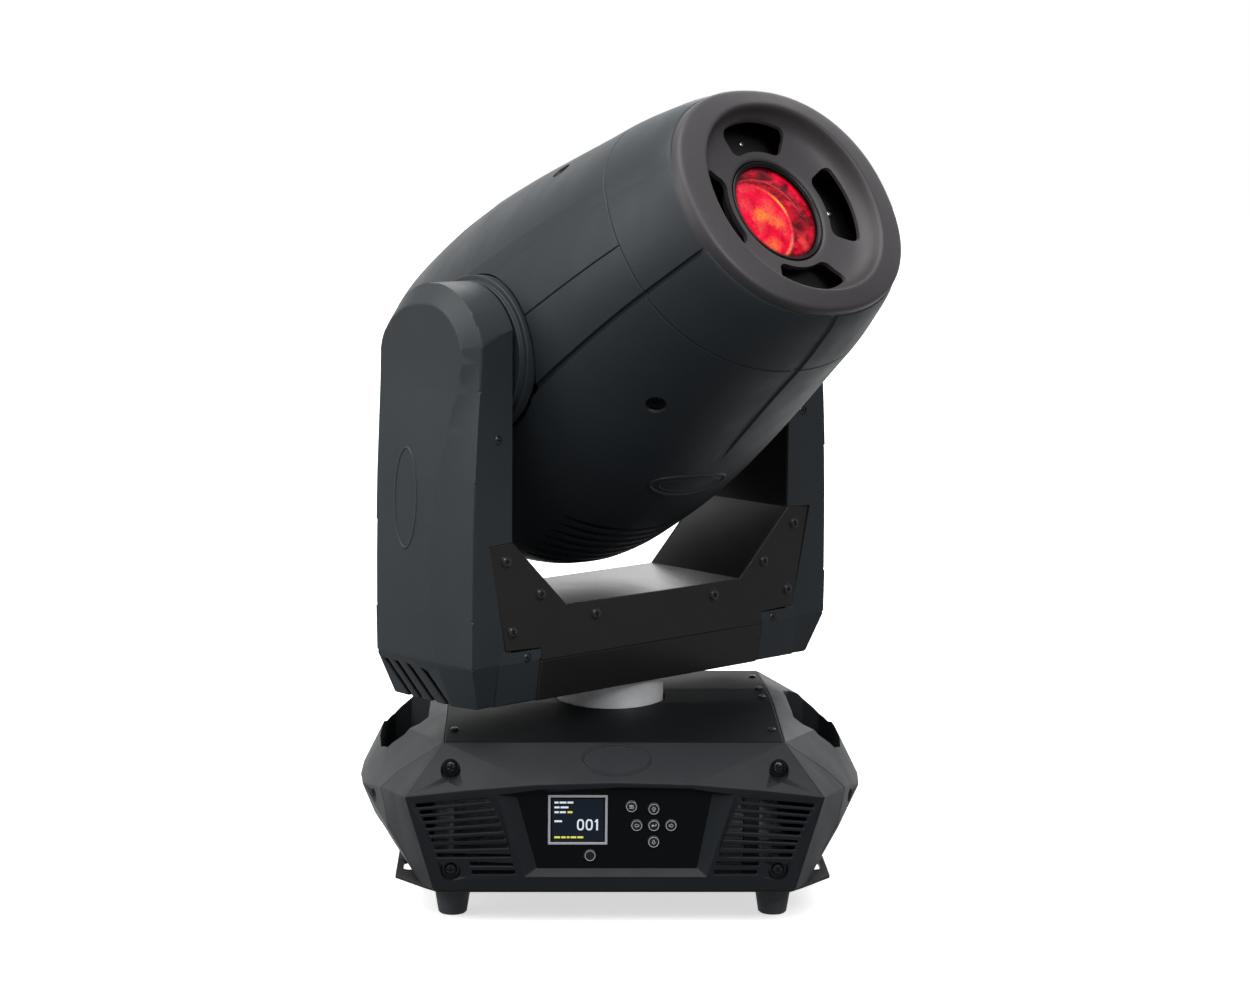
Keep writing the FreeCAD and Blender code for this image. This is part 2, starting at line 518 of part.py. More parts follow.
# bottom pan between the pod feet
G = 205.0
pan_out = convex([(x, y, z) for x in (-FOOT_SEAM, FOOT_SEAM) for y, z in ((-YOKE_FRONT, G), (YOKE_FRONT, G), (-49.5, YOKE_BOT), (49.5, YOKE_BOT))])
pan_in = convex([(x, y, z) for x in (-FOOT_SEAM - 1, FOOT_SEAM + 1) for y, z in ((-YOKE_FRONT + 2.5, G + 1), (YOKE_FRONT - 2.5, G + 1), (-47.2, YOKE_BOT + 2.5), (47.2, YOKE_BOT + 2.5))])
pan = pan_out.cut(pan_in).cut(cyl((0, 0, 150), COLLAR_R + 0.01, (0, 0, 1), 60))
save("yoke_bottom_pan", pan, "yoke")

PLATE = [(SLOPE_X, FLOOR_Z), (156.0, 303.2), (181.0, 302.0), (162.8, 216.9), (126.2, 215.5), (125.4, G)]
plate_pts = PLATE + [(-x, z) for x, z in reversed(PLATE)]
PSCREW = [(163.1, 288.3), (126.9, 258.8), (67.3, 236.1), (156.6, 231.3)]
fp = prism_xz(plate_pts, -YOKE_FRONT, -YOKE_FRONT + 2.0)
ps, pholes = [], []
for sx in (1, -1):
    for x, z in PSCREW:
        pholes.append(cyl((sx * x, -70, z), 2.0, (0, 1, 0), 140))
        ps.append(screw((sx * x, -YOKE_FRONT, z), (0, -1, 0), 4.4, 2.2, 2.0, 2.0))
        ps.append(screw((sx * x, YOKE_FRONT, z), (0, 1, 0), 4.4, 2.2, 2.0, 2.0))
fp = fp.cut(Part.makeCompound(pholes))
save("yoke_front_plate", fp, "yoke")
save("yoke_rear_plate", mirror_y(fp), "yoke")
save("yoke_plate_screws", Part.makeCompound(ps), "yoke")

# cradle: folded sheet with the inner arm plates that carry the tilt bearings
W = YOKE_FRONT - 2.0
inn = [(ARM_IN, TILT_Z), (ARM_IN, SLOPE_Z), (SLOPE_X, FLOOR_Z)]
outp = [(SLOPE_X - 0.8, FLOOR_Z - SHEET), (ARM_IN + SHEET, SLOPE_Z - 0.8), (ARM_IN + SHEET, TILT_Z)]
u_prof = inn + [(-x, z) for x, z in reversed(inn)] + [(-x, z) for x, z in reversed(outp)] + outp
cr = prism_xz([(x, z) for x, z in u_prof], -50.8, 50.8)
low_part = prism_xz([(x, z) for x, z in u_prof], -W, W).common(box(-170, 170, -W, W, 200, SLOPE_Z + 0.4))
cr = fuse([cr, low_part])
for sx in (1, -1):
    disc = cyl((sx * ARM_IN, 0, TILT_Z), 55.5, (sx, 0, 0), SHEET).common(box(-200, 200, -50.8, 50.8, TILT_Z - 5, 520))
    cr = fuse([cr, disc])
    cr = cr.cut(cyl((sx * 140, 0, TILT_Z), TILT_BEARING_R, (sx, 0, 0), 40))
save("yoke_cradle", cr, "yoke")


# arm covers (right arm, +x)
def pod_solid(dx, z_lo, grow_in):
    rings = []
    for z, e, us, c, vi, ve in POD_Z:
        zz = max(z, z_lo) if z == POD_Z[0][0] else z
        x_in = FOOT_SEAM - 4 if grow_in else ARM_IN
        k = dx
        er = max(e, us - 0.6)
        rings.append(poly([(ARM_IN - (8 if dx else 0), -(vi - k), zz), (e - k, -(ve - k), zz), (us - k, -c, zz),
                           (us - k, c, zz), (er - k, ve - k, zz), (ARM_IN - (8 if dx else 0), vi - k, zz)]))
    body = Part.makeLoft(rings, True, True)
    z, e, us, c, vi, ve = POD_Z[-1]
    k = dx
    er = max(e, us - 0.6)
    plan = prism_xy([(ARM_IN - (8 if dx else 0), -(vi - k)), (e - k, -(ve - k)), (us - k, -c), (us - k, c), (er - k, ve - k),
                     (ARM_IN - (8 if dx else 0), vi - k)], TILT_Z, TILT_Z + 70)
    # rounded top: a full circle near the arm, easing to a smaller crease circle at the front
    # of the outer face and to the full width at its rear
    rings = []
    for x, rz, rf, rr in ((ARM_IN - (8 if dx else 0), POD_TOP_R - k, POD_TOP_R - k, POD_TOP_R - k),
                          (e - k, POD_TOP_R - k, POD_TOP_R - k, POD_TOP_R - k),
                          (us - k, c + 1 - k * 0.3, c + 1 - k * 0.3, ve - k)):
        pts = []
        for i in range(33):
            a = math.pi * i / 32
            pts.append(V(x, -math.cos(a) * (rf if i <= 16 else rr), TILT_Z - 0.02 + rz * math.sin(a)))
        arc = Part.BSplineCurve()
        arc.interpolate(pts)
        rings.append(Part.Wire([arc.toShape(), Part.LineSegment(pts[-1], pts[0]).toShape()]))
    dome = Part.makeLoft(rings, True, True).common(plan)
    return fuse([body, dome])


pod_out = pod_solid(0, 0, False)
pod_cav = pod_solid(3.0, 175.0, False)
# foot of the cover that runs in under the front plate
foot_out = convex([(x, sy * y, z) for x in (FOOT_SEAM + 0.3, 170) for sy in (1, -1) for y, z in ((54.6, 214.8), (54.8, 206.0), (49.5, YOKE_BOT + 0.8))])
foot_in = convex([(x, sy * y, z) for x in (FOOT_SEAM - 3, 172) for sy in (1, -1) for y, z in ((51.6, 216), (51.8, 206.0), (46.5, YOKE_BOT + 3.8))])
pod = fuse([pod_out, foot_out]).cut(fuse([pod_cav, foot_in]))
pod = pod.cut(box(FOOT_SEAM + 0.4, 157.0, -60, 60, 217.5, 305).common(box(0, ARM_IN, -60, 60, 0, 600)))
# seat of the front and rear plates
seat = prism_xz([(150, 303.8), (181.6, 302.6), (163.2, 216.4), (126.0, 215.0), (120, 215.0), (120, 303.8)], -80, -YOKE_FRONT + 2.0)
pod = pod.cut(seat).cut(mirror_y(seat))
pod = pod.cut(low_part)
ACREW = [(140.0, 208.7), (171.7, 385.3)]
ac = []
for x, z in ACREW:
    yv = 54.7 if z < 300 else 54.0 + (x - ARM_IN) / (197 - ARM_IN) * 4.0
    pod = pod.cut(cyl((x, -80, z), 1.8, (0, 1, 0), 160))
    # sunk seats
    pod = pod.cut(cyl((x, -80, z), 3.9, (0, 1, 0), 80 - yv + 1.6)).cut(cyl((x, 80, z), 3.9, (0, -1, 0), 80 - yv + 1.6))
    for sx in (1, -1):
        for sy in (1, -1):
            ac.append(screw((sx * x, sy * (yv - 1.6), z), (0, sy, 0), 3.6, 2.0, 1.8, 1.6))
# slanted vents in the lower side facet
for y0 in (-49.0, -35.5, -20.0, -2.0):
    v = convex([(x, y0 + s + w, z) for x in (180, 215) for s, w, z in ((0, -3.0, 201), (0, 3.0, 201), (24, -3.0, 168), (24, 3.0, 168))])
    # the vents lean the other way on the opposite side of the arm
    pod = pod.cut(mirror_y(v))
save("right_arm_cover", pod, "yoke")
save("left_arm_cover", mirror_x(pod), "yoke")
save("arm_cover_screws", Part.makeCompound(ac), "yoke")

tb = []
for sx in (1, -1):
    r1 = fuse([cyl((sx * (ARM_IN + 0.2), 0, TILT_Z), TILT_BEARING_R, (sx, 0, 0), 11), cyl((sx * (ARM_IN + SHEET), 0, TILT_Z), 37, (sx, 0, 0), 2.5)])
    tb.append(r1.cut(cyl((sx * 140, 0, TILT_Z), TRUNNION_R + RUN_CLEAR, (sx, 0, 0), 60)))
save("tilt_bearings", Part.makeCompound(tb), "yoke")

tm = box(ARM_IN + SHEET, 182.5, -25, 25, TILT_MOTOR_Z - 25, TILT_MOTOR_Z + 25)
tm = tm.makeChamfer(4.0, [e for e in tm.Edges if abs(e.Vertexes[0].X - e.Vertexes[1].X) > 20])
tm = tm.cut(cyl((160, 0, TILT_MOTOR_Z), 3.0 + RUN_CLEAR, (1, 0, 0), 60))
save("tilt_motor", tm, "yoke")


def to_x(s):
    # turn a shape built about +Z into one about +X through the tilt axis (local x -> y, y -> z)
    m = FreeCAD.Matrix(0, 0, 1, 0, 1, 0, 0, 0, 0, 1, 0, 0, 0, 0, 0, 1)
    return s.transformGeometry(m) if False else s.transformed(m)


tmp_ = to_x(fuse([toothed(0, TILT_MOTOR_Z, TILT_DRIVE_R, 184.5, 192.5, 10), cyl((0, TILT_MOTOR_Z, 165), 3.0, (0, 0, 1), 28)]))
save("tilt_motor_pulley", tmp_, "yoke")
save("tilt_belt", to_x(belt((0, TILT_Z), TILT_PULLEY_R + 0.35, (0, TILT_MOTOR_Z), TILT_DRIVE_R + 0.35, 1.6, 185.2, 191.8)), "yoke")
tp = to_x(toothed(0, 0, TILT_PULLEY_R, 184.5, 192.5, 40).cut(cyl((0, 0, 180), TRUNNION_R, (0, 0, 1), 20)))


# ------------------------------------------------------------------ head (head frame)
def in_head(s_about_x):
    return s_about_x


head_out = super_loft(HEAD)
HI = [(z, w - 3.0, h - 3.0, p) for z, w, h, p in HEAD]
HI[0] = (-179.0, 86.0, 68.0, 2.6)
HI[1] = (-174.0, 96.5, 84.0, 2.5)
HI.append((240.0, HEAD[-1][1] - 4.5, HEAD[-1][2] - 4.5, 2.2))
head_in = super_loft(HI)
shell_h = head_out.cut(head_in)
# room for the trunnion discs
for sx in (1, -1):
    shell_h = shell_h.cut(cyl((sx * 130, 0, 0), 64.3, (sx, 0, 0), 40))
nose = shell_h.common(box(-200, 200, -200, 200, NOSE_L, 300))
body = shell_h.common(box(-200, 200, -200, 200, -200, NOSE_L))
topc = body.common(box(-200, 200, HEAD_SPLIT, 200, -200, 200))
botc = body.common(box(-200, 200, -200, HEAD_SPLIT, -200, 200))
# vents: curved louvres in the underside and slots in the tail
fins = [box(-84 + 2 * k, 84 - 2 * k, -170, -100, -44 - 11.5 * k - 2.6, -44 - 11.5 * k + 2.6) for k in range(7)]
botc = botc.cut(Part.makeCompound(fins))
tail = [box(-58, 58, -46 + 11 * k, -41 + 11 * k, -200, -170) for k in range(9)]
topc = topc.cut(Part.makeCompound(tail))
botc = botc.cut(Part.makeCompound(tail))
# recessed cover screws
HS = [(78.0, 92.0, 1), (78.0, -95.0, 1), (84.0, 92.0, -1), (84.0, -95.0, -1)]
hs = []
HSC = [(108.0, 1, 90.0), (-95.0, 1, 118.0), (108.0, -1, 90.0), (-95.0, -1, 118.0)]


def half_h(z):
    for (z0, w0, h0, p0), (z1, w1, h1, p1) in zip(HEAD, HEAD[1:]):
        if z0 <= z <= z1:
            k = (z - z0) / (z1 - z0)
            return w0 + k * (w1 - w0), h0 + k * (h1 - h0)
    return HEAD[0][1], HEAD[0][2]


for zc, sm, u_ in HSC:
    for su in (1, -1):
        w_, h_ = half_h(zc)
        m_ = h_ * (1 - (u_ / w_) ** 2.2) ** (1 / 2.2)
        d = V(su * (0.54 if zc > 0 else 0.85), sm * (0.84 if zc > 0 else 0.6), 0)
        d.normalize()
        c = V(su * u_, sm * m_, zc) - d * 10.0
        boss = Part.makeCylinder(10.5, 30, c - d * 3.0, d).common(head_out)
        cut1 = Part.makeCylinder(8.0, 40, c, d)
        cut2 = Part.makeCylinder(2.0, 40, c - d * 12, d)
        if sm > 0:
            topc = fuse([topc, boss.cut(head_in.cut(Part.makeCylinder(10.5, 30, c - d * 3.0, d)))]).cut(cut1).cut(cut2)
        else:
            botc = fuse([botc, boss.cut(head_in.cut(Part.makeCylinder(10.5, 30, c - d * 3.0, d)))]).cut(cut1).cut(cut2)
        hs.append(screw((c.x, c.y, c.z), (d.x, d.y, d.z), 5.0, 3.2, 2.0, 5.0))
save("head_top_cover", topc, "head")
save("head_bottom_cover", botc, "head")
save("nose_cover", nose, "head")
save("head_cover_screws", Part.makeCompound(hs), "head")

# front ring: dished bezel with four curved slots round the lens
ro = super_loft([(233.0, 111.5, 98.6, 2.2), (239.8, 110.2, 98.0, 2.2)], True)
ro2 = super_loft([(239.8, 110.2, 98.0, 2.2), (RING_FRONT, 106.5, 95.0, 2.2)], True)
back = super_loft([(233.0, 100.0, 92.0, 2.1), (228.0, 88.0, 86.0, 2.0), (219.5, 52.5, 52.5, 2.0)], True)
ring = fuse([ro, ro2, back])
dish = super_loft([(RING_FRONT + 0.01, DISH_W, DISH_H, 2.0), (231.5, 82.0, 80.5, 2.0)], True)
dish2 = super_loft([(231.51, 82.0, 80.5, 2.0), (222.6, 48.0, 48.0, 2.0)], True)
ring = ring.cut(dish).cut(dish2).cut(cyl((0, 0, 200), 44.6, (0, 0, 1), 60))
for k in range(4):
    a0 = math.radians(90 * k)
    rc = 7.0
    h0, h1 = math.radians(SLOT_HALF + 2.0), math.radians(SLOT_HALF + 1.0)
    arc_pts = []
    for i in range(17):
        q = -1 + i / 8.0
        arc_pts.append((SLOT_R1 - 3.2 * abs(q) ** 6, q * h1 * 0.97))
    for i in range(17):
        q = 1 - i / 8.0
        arc_pts.append((SLOT_R0 + 3.2 * abs(q) ** 6, q * h0 * 0.94))
    ring = ring.cut(prism_xy([(r_ * math.cos(a0 + w_), r_ * math.sin(a0 + w_)) for r_, w_ in arc_pts], 200, 236))
save("front_ring", ring, "head")

# front lens in its barrel
LENS_SAG, LENS_EDGE = 4.0, 6.0
LENS_BALL = (LENS_R ** 2 + LENS_SAG ** 2) / (2 * LENS_SAG)
lens = Part.makeSphere(LENS_BALL, V(0, 0, LENS_L + 3 - LENS_BALL)).common(cyl((0, 0, LENS_L - 3 - LENS_EDGE), LENS_R, (0, 0, 1), 20))
save("front_lens", lens, "head")
lb = cyl((0, 0, 153), 44.2, (0, 0, 1), 68).cut(cyl((0, 0, 150), 38.5, (0, 0, 1), 80)).cut(cyl((0, 0, LENS_L - 9), LENS_R, (0, 0, 1), 30))
save("lens_barrel", lb, "head")

# chassis: side plates, bulkheads and guide rods
ch = []
for sx in (1, -1):
    ch.append(box(min(sx * 136.5, sx * 139.5), max(sx * 136.5, sx * 139.5), -34, 34, -55, 62))
for z in (-53.0, 60.0):
    ch.append(fuse([box(-137, 137, -34, 34, z - 1.5, z + 1.5), box(-128, 128, -48, 48, z - 1.5, z + 1.5)]).cut(cyl((0, 0, z - 5), 44, (0, 0, 1), 10)))
ch.append(box(-88, 88, -76, 76, 150, 153).cut(cyl((0, 0, 140), 38.5, (0, 0, 1), 30)))
for x, y in ((70, 40), (-70, 40), (70, -40), (-70, -40)):
    ch.append(cyl((x, y, 61), 4.0, (0, 0, 1), 90))
for sx in (1, -1):
    ch.append(cyl((sx * WHEEL_X, 0, -52), 4.0, (0, 0, 1), 45 if sx > 0 else 60))
ch = fuse(ch)
save("head_chassis", ch, "head")

lamp = fuse([cyl((0, 0, -165), 40, (0, 0, 1), 60), Part.makeCone(40, 56, 32, V(0, 0, -105)), cyl((0, 0, -73), 56, (0, 0, 1), 18.5)])
lamp = lamp.cut(Part.makeCone(14, 50, 60, V(0, 0, -114.0))).cut(cyl((0, 0, -60), 43.9, (0, 0, 1), 20))
lamp = fuse([lamp, cyl((0, 0, -116), 6, (0, 0, 1), 40)])
save("lamp_module", lamp, "head")

tr = []
for sx in (1, -1):
    t1 = fuse([cyl((sx * 139.5, 0, 0), 63.5, (sx, 0, 0), 9.5), cyl((sx * 149, 0, 0), 59.0, (sx, 0, 0), 4.0),
               cyl((sx * 153, 0, 0), TRUNNION_R, (sx, 0, 0), 41.5)])
    tr.append(t1.cut(cyl((sx * 120, 0, 0), 13, (sx, 0, 0), 90)))
save("trunnions", Part.makeCompound(tr), "head")
save("tilt_pulley", tp, "head")


def wheel(cx, cy, z, r, n, hole_r, pitch, t=3.0, gap=0.0):
    s = fuse([cyl((cx, cy, z), r, (0, 0, 1), t), cyl((cx, cy, z - 3), 11, (0, 0, 1), t + 6)])
    s = s.cut(cyl((cx, cy, z - 10), 4.0 + RUN_CLEAR, (0, 0, 1), 30))
    for k in range(n):
        a = 2 * math.pi * k / n + (math.pi if cx > 0 else 0)
        s = s.cut(cyl((cx + pitch * math.cos(a), cy + pitch * math.sin(a), z - 5), hole_r, (0, 0, 1), 20))
    return s


save("color_wheel", wheel(WHEEL_X, 0, -24.0, WHEEL_R, 9, 14.0, WHEEL_X), "head")
save("gobo_wheel", wheel(-WHEEL_X, 0, -4.0, WHEEL_R, 8, 13.0, WHEEL_X), "head")

fc = box(-82, 82, -52, 52, 98, 103).cut(cyl((0, 0, 90), 34, (0, 0, 1), 30))
fc = fuse([fc, cyl((0, 0, 94), 38, (0, 0, 1), 14).cut(cyl((0, 0, 90), 34, (0, 0, 1), 30)), cyl((0, 0, 97), 34, (0, 0, 1), 6)])
for x, y in ((70, 40), (-70, 40), (70, -40), (-70, -40)):
    fc = fuse([fc, cyl((x, y, 94), 8, (0, 0, 1), 14)])
for x, y in ((70, 40), (-70, 40), (70, -40), (-70, -40)):
    fc = fc.cut(cyl((x, y, 80), 4.0 + RUN_CLEAR, (0, 0, 1), 60))
save("focus_carriage", fc, "head")
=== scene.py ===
import json
import math
import bpy
import bmesh
import numpy as np
from mathutils import Matrix, Vector
from mathutils.bvhtree import BVHTree

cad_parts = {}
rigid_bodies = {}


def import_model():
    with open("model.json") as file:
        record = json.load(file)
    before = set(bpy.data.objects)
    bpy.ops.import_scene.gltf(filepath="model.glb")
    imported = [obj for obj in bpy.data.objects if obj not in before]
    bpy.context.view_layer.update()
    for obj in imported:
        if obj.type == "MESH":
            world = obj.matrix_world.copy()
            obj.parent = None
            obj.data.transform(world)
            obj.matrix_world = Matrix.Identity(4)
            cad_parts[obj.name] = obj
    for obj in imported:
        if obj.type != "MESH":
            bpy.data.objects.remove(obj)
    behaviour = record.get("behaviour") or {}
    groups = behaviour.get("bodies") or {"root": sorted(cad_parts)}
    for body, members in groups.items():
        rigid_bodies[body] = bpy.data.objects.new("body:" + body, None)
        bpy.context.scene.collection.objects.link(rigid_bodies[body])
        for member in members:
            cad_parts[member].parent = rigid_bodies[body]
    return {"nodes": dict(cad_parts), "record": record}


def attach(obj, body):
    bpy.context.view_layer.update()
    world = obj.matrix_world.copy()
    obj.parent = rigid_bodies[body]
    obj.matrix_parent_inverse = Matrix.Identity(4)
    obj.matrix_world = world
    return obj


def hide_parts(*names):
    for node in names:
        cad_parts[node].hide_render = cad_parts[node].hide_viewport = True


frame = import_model()
nodes = frame["nodes"]
body_of = {n: b for b, ns in frame["record"]["behaviour"]["bodies"].items() for n in ns}


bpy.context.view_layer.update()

# ------------------------------------------------------------------ the frames of yoke and head
PAN = math.radians(41.16)
TILT = math.radians(32.1)
UU = Vector((math.cos(PAN), math.sin(PAN), 0.0))
VV = Vector((math.sin(PAN), -math.cos(PAN), 0.0))
ZZ = Vector((0.0, 0.0, 1.0))
NN = VV * math.cos(TILT) + ZZ * math.sin(TILT)
MM = -VV * math.sin(TILT) + ZZ * math.cos(TILT)
AXIS = Vector((0.0, 0.0, 0.447))
BASE_M = Matrix.Identity(4)
YOKE_M = Matrix(((UU.x, -VV.x, 0, 0), (UU.y, -VV.y, 0, 0), (0, 0, 1, 0), (0, 0, 0, 1)))
HEAD_M = Matrix(((UU.x, MM.x, NN.x, AXIS.x), (UU.y, MM.y, NN.y, AXIS.y), (UU.z, MM.z, NN.z, AXIS.z), (0, 0, 0, 1)))


# ------------------------------------------------------------------ materials
def new_mat(name):
    m = bpy.data.materials.new(name)
    m.use_nodes = True
    nt = m.node_tree
    for n in list(nt.nodes):
        nt.nodes.remove(n)
    out = nt.nodes.new("ShaderNodeOutputMaterial")
    b = nt.nodes.new("ShaderNodeBsdfPrincipled")
    nt.links.new(b.outputs[0], out.inputs[0])
    return m, nt, b


def noise(nt, vec, scale, detail=3.0, rough=0.55):
    n = nt.nodes.new("ShaderNodeTexNoise")
    n.inputs["Scale"].default_value = scale
    n.inputs["Detail"].default_value = detail
    n.inputs["Roughness"].default_value = rough
    nt.links.new(vec, n.inputs["Vector"])
    return n.outputs["Fac"]


def ramp(nt, fac, stops):
    r = nt.nodes.new("ShaderNodeValToRGB")
    e = r.color_ramp.elements
    e[0].position, e[0].color = stops[0][0], stops[0][1]
    e[1].position, e[1].color = stops[-1][0], stops[-1][1]
    for p, c in stops[1:-1]:
        q = e.new(p)
        q.color = c
    nt.links.new(fac, r.inputs["Fac"])
    return r.outputs["Color"]


def c4(c, k=1.0):
    return (c[0] * k, c[1] * k, c[2] * k, 1.0)


def span(nt, fac, lo, hi):
    n = nt.nodes.new("ShaderNodeMapRange")
    n.inputs["From Min"].default_value = 0.25
    n.inputs["From Max"].default_value = 0.75
    n.inputs["To Min"].default_value = lo
    n.inputs["To Max"].default_value = hi
    nt.links.new(fac, n.inputs["Value"])
    return n.outputs["Result"]


def span_w(nt, fac):
    n = nt.nodes.new("ShaderNodeMapRange")
    n.inputs["From Min"].default_value = -1.0
    n.inputs["From Max"].default_value = 1.0
    nt.links.new(fac, n.inputs["Value"])
    return n.outputs["Result"]


def bump(nt, b, heights):
    """heights: list of (socket, strength, distance)"""
    prev = None
    for h, s, d in heights:
        n = nt.nodes.new("ShaderNodeBump")
        n.inputs["Strength"].default_value = s
        n.inputs["Distance"].default_value = d
        nt.links.new(h, n.inputs["Height"])
        if prev is not None:
            nt.links.new(prev, n.inputs["Normal"])
        prev = n.outputs["Normal"]
    nt.links.new(prev, b.inputs["Normal"])


def plastic(name, col, rough=0.46, grain=1500.0, depth=0.00006, mottle=0.10, spec=0.5, dust=0.05, coat=0.0):
    """moulded plastic: spark-eroded grain, slow mottling, faint handling marks in the gloss"""
    m, nt, b = new_mat(name)
    tc = nt.nodes.new("ShaderNodeTexCoord")
    v = tc.outputs["Object"]
    slow = noise(nt, v, 9.0, 4.0)
    fine = noise(nt, v, 260.0, 2.0)
    mix = nt.nodes.new("ShaderNodeMath")
    mix.operation = "MULTIPLY_ADD"
    mix.inputs[1].default_value = 0.35
    nt.links.new(fine, mix.inputs[0])
    sc = nt.nodes.new("ShaderNodeMath")
    sc.operation = "MULTIPLY"
    sc.inputs[1].default_value = 0.65
    nt.links.new(slow, sc.inputs[0])
    nt.links.new(sc.outputs[0], mix.inputs[2])
    col_s = ramp(nt, mix.outputs[0], [(0.30, c4(col, 1 - mottle)), (0.5, c4(col)), (0.70, c4([min(1, x * (1 + mottle) + dust * 0.02) for x in col]))])
    nt.links.new(col_s, b.inputs["Base Color"])
    scr = nt.nodes.new("ShaderNodeTexNoise")
    scr.inputs["Scale"].default_value = 42.0
    scr.inputs["Detail"].default_value = 5.0
    mp = nt.nodes.new("ShaderNodeMapping")
    mp.inputs["Scale"].default_value = (1.0, 1.0, 0.25)
    nt.links.new(v, mp.inputs["Vector"])
    nt.links.new(mp.outputs["Vector"], scr.inputs["Vector"])
    nt.links.new(span(nt, scr.outputs["Fac"], rough - 0.05, rough + 0.06), b.inputs["Roughness"])
    b.inputs["Specular IOR Level"].default_value = spec
    b.inputs["Coat Weight"].default_value = coat
    vor = nt.nodes.new("ShaderNodeTexVoronoi")
    vor.inputs["Scale"].default_value = grain
    nt.links.new(v, vor.inputs["Vector"])
    bump(nt, b, [(vor.outputs["Distance"], 0.45, depth), (noise(nt, v, 700.0, 2.0), 0.35, depth)])
    return m


def painted(name, col, rough=0.34, metal=0.0, peel=900.0, depth=0.00005, spec=0.5, wear=None, coat=0.0):
    """powder-coated sheet: orange peel, thin rubbed streaks"""
    m, nt, b = new_mat(name)
    tc = nt.nodes.new("ShaderNodeTexCoord")
    v = tc.outputs["Object"]
    slow = noise(nt, v, 14.0, 5.0)
    col_s = ramp(nt, slow, [(0.32, c4(col, 0.88)), (0.55, c4(col)), (0.72, c4(col, 1.12))])
    nt.links.new(col_s, b.inputs["Base Color"])
    b.inputs["Metallic"].default_value = metal
    b.inputs["Specular IOR Level"].default_value = spec
    b.inputs["Coat Weight"].default_value = coat
    b.inputs["Coat Roughness"].default_value = 0.2
    mp = nt.nodes.new("ShaderNodeMapping")
    mp.inputs["Scale"].default_value = (1.0, 1.0, 14.0)
    nt.links.new(v, mp.inputs["Vector"])
    st = noise(nt, mp.outputs["Vector"], 30.0, 5.0, 0.6)
    nt.links.new(span(nt, st, rough - 0.015, rough + 0.03), b.inputs["Roughness"])
    bump(nt, b, [(noise(nt, v, peel, 2.0), 0.4, depth)])
    return m


def turned(name, col, rough=0.28, centre=(0, 0, 0), axis="Z", rings=5200.0, depth=0.000025):
    """lathe-turned or brushed metal"""
    m, nt, b = new_mat(name)
    tc = nt.nodes.new("ShaderNodeTexCoord")
    mp = nt.nodes.new("ShaderNodeMapping")
    mp.inputs["Location"].default_value = (-centre[0], -centre[1], -centre[2])
    nt.links.new(tc.outputs["Object"], mp.inputs["Vector"])
    wv = nt.nodes.new("ShaderNodeTexWave")
    wv.wave_type = "BANDS"
    wv.bands_direction = axis
    wv.inputs["Scale"].default_value = rings / 10.0
    wv.inputs["Distortion"].default_value = 1.5
    wv.inputs["Detail"].default_value = 2.0
    nt.links.new(mp.outputs["Vector"], wv.inputs["Vector"])
    col_s = ramp(nt, noise(nt, mp.outputs["Vector"], 60.0, 4.0), [(0.3, c4(col, 0.9)), (0.7, c4([min(1, x * 1.06) for x in col]))])
    nt.links.new(col_s, b.inputs["Base Color"])
    b.inputs["Metallic"].default_value = 1.0
    nt.links.new(span(nt, wv.outputs["Fac"], rough - 0.06, rough + 0.08), b.inputs["Roughness"])
    bump(nt, b, [(wv.outputs["Fac"], 0.35, depth)])
    return m


def rubber(name, col):
    m, nt, b = new_mat(name)
    tc = nt.nodes.new("ShaderNodeTexCoord")
    v = tc.outputs["Object"]
    col_s = ramp(nt, noise(nt, v, 70.0, 5.0), [(0.3, c4(col, 0.8)), (0.7, c4(col, 1.25))])
    nt.links.new(col_s, b.inputs["Base Color"])
    nt.links.new(span(nt, noise(nt, v, 160.0, 3.0), 0.68, 0.86), b.inputs["Roughness"])
    bump(nt, b, [(noise(nt, v, 1400.0, 3.0), 0.6, 0.0001)])
    return m


def glow(name, col, strength, grain=2600.0):
    """lit pixels of the display"""
    m, nt, b = new_mat(name)
    tc = nt.nodes.new("ShaderNodeTexCoord")
    v = tc.outputs["Object"]
    n = noise(nt, v, grain, 1.0)
    e = ramp(nt, n, [(0.3, c4(col, 0.86)), (0.7, c4(col, 1.05))])
    nt.links.new(e, b.inputs["Emission Color"])
    b.inputs["Emission Strength"].default_value = strength
    b.inputs["Base Color"].default_value = c4(col, 0.25)
    b.inputs["Roughness"].default_value = 0.3
    return m


def printed(name, col, rough=0.5):
    m, nt, b = new_mat(name)
    tc = nt.nodes.new("ShaderNodeTexCoord")
    v = tc.outputs["Object"]
    col_s = ramp(nt, noise(nt, v, 900.0, 3.0), [(0.3, c4(col, 0.9)), (0.7, c4(col))])
    nt.links.new(col_s, b.inputs["Base Color"])
    b.inputs["Roughness"].default_value = rough
    bump(nt, b, [(noise(nt, v, 3000.0, 2.0), 0.3, 0.00002)])
    return m


def board_mat():
    m, nt, b = new_mat("circuit_board")
    tc = nt.nodes.new("ShaderNodeTexCoord")
    br = nt.nodes.new("ShaderNodeTexBrick")
    br.inputs["Scale"].default_value = 160.0
    br.inputs["Color1"].default_value = (0.012, 0.09, 0.035, 1)
    br.inputs["Color2"].default_value = (0.01, 0.07, 0.03, 1)
    br.inputs["Mortar"].default_value = (0.03, 0.2, 0.08, 1)
    mp = nt.nodes.new("ShaderNodeMapping")
    mp.inputs["Rotation"].default_value = (math.pi / 2, 0, 0)
    nt.links.new(tc.outputs["Object"], mp.inputs["Vector"])
    nt.links.new(mp.outputs["Vector"], br.inputs["Vector"])
    nt.links.new(br.outputs["Color"], b.inputs["Base Color"])
    b.inputs["Roughness"].default_value = 0.35
    bump(nt, b, [(br.outputs["Fac"], 0.4, 0.0001)])
    return m


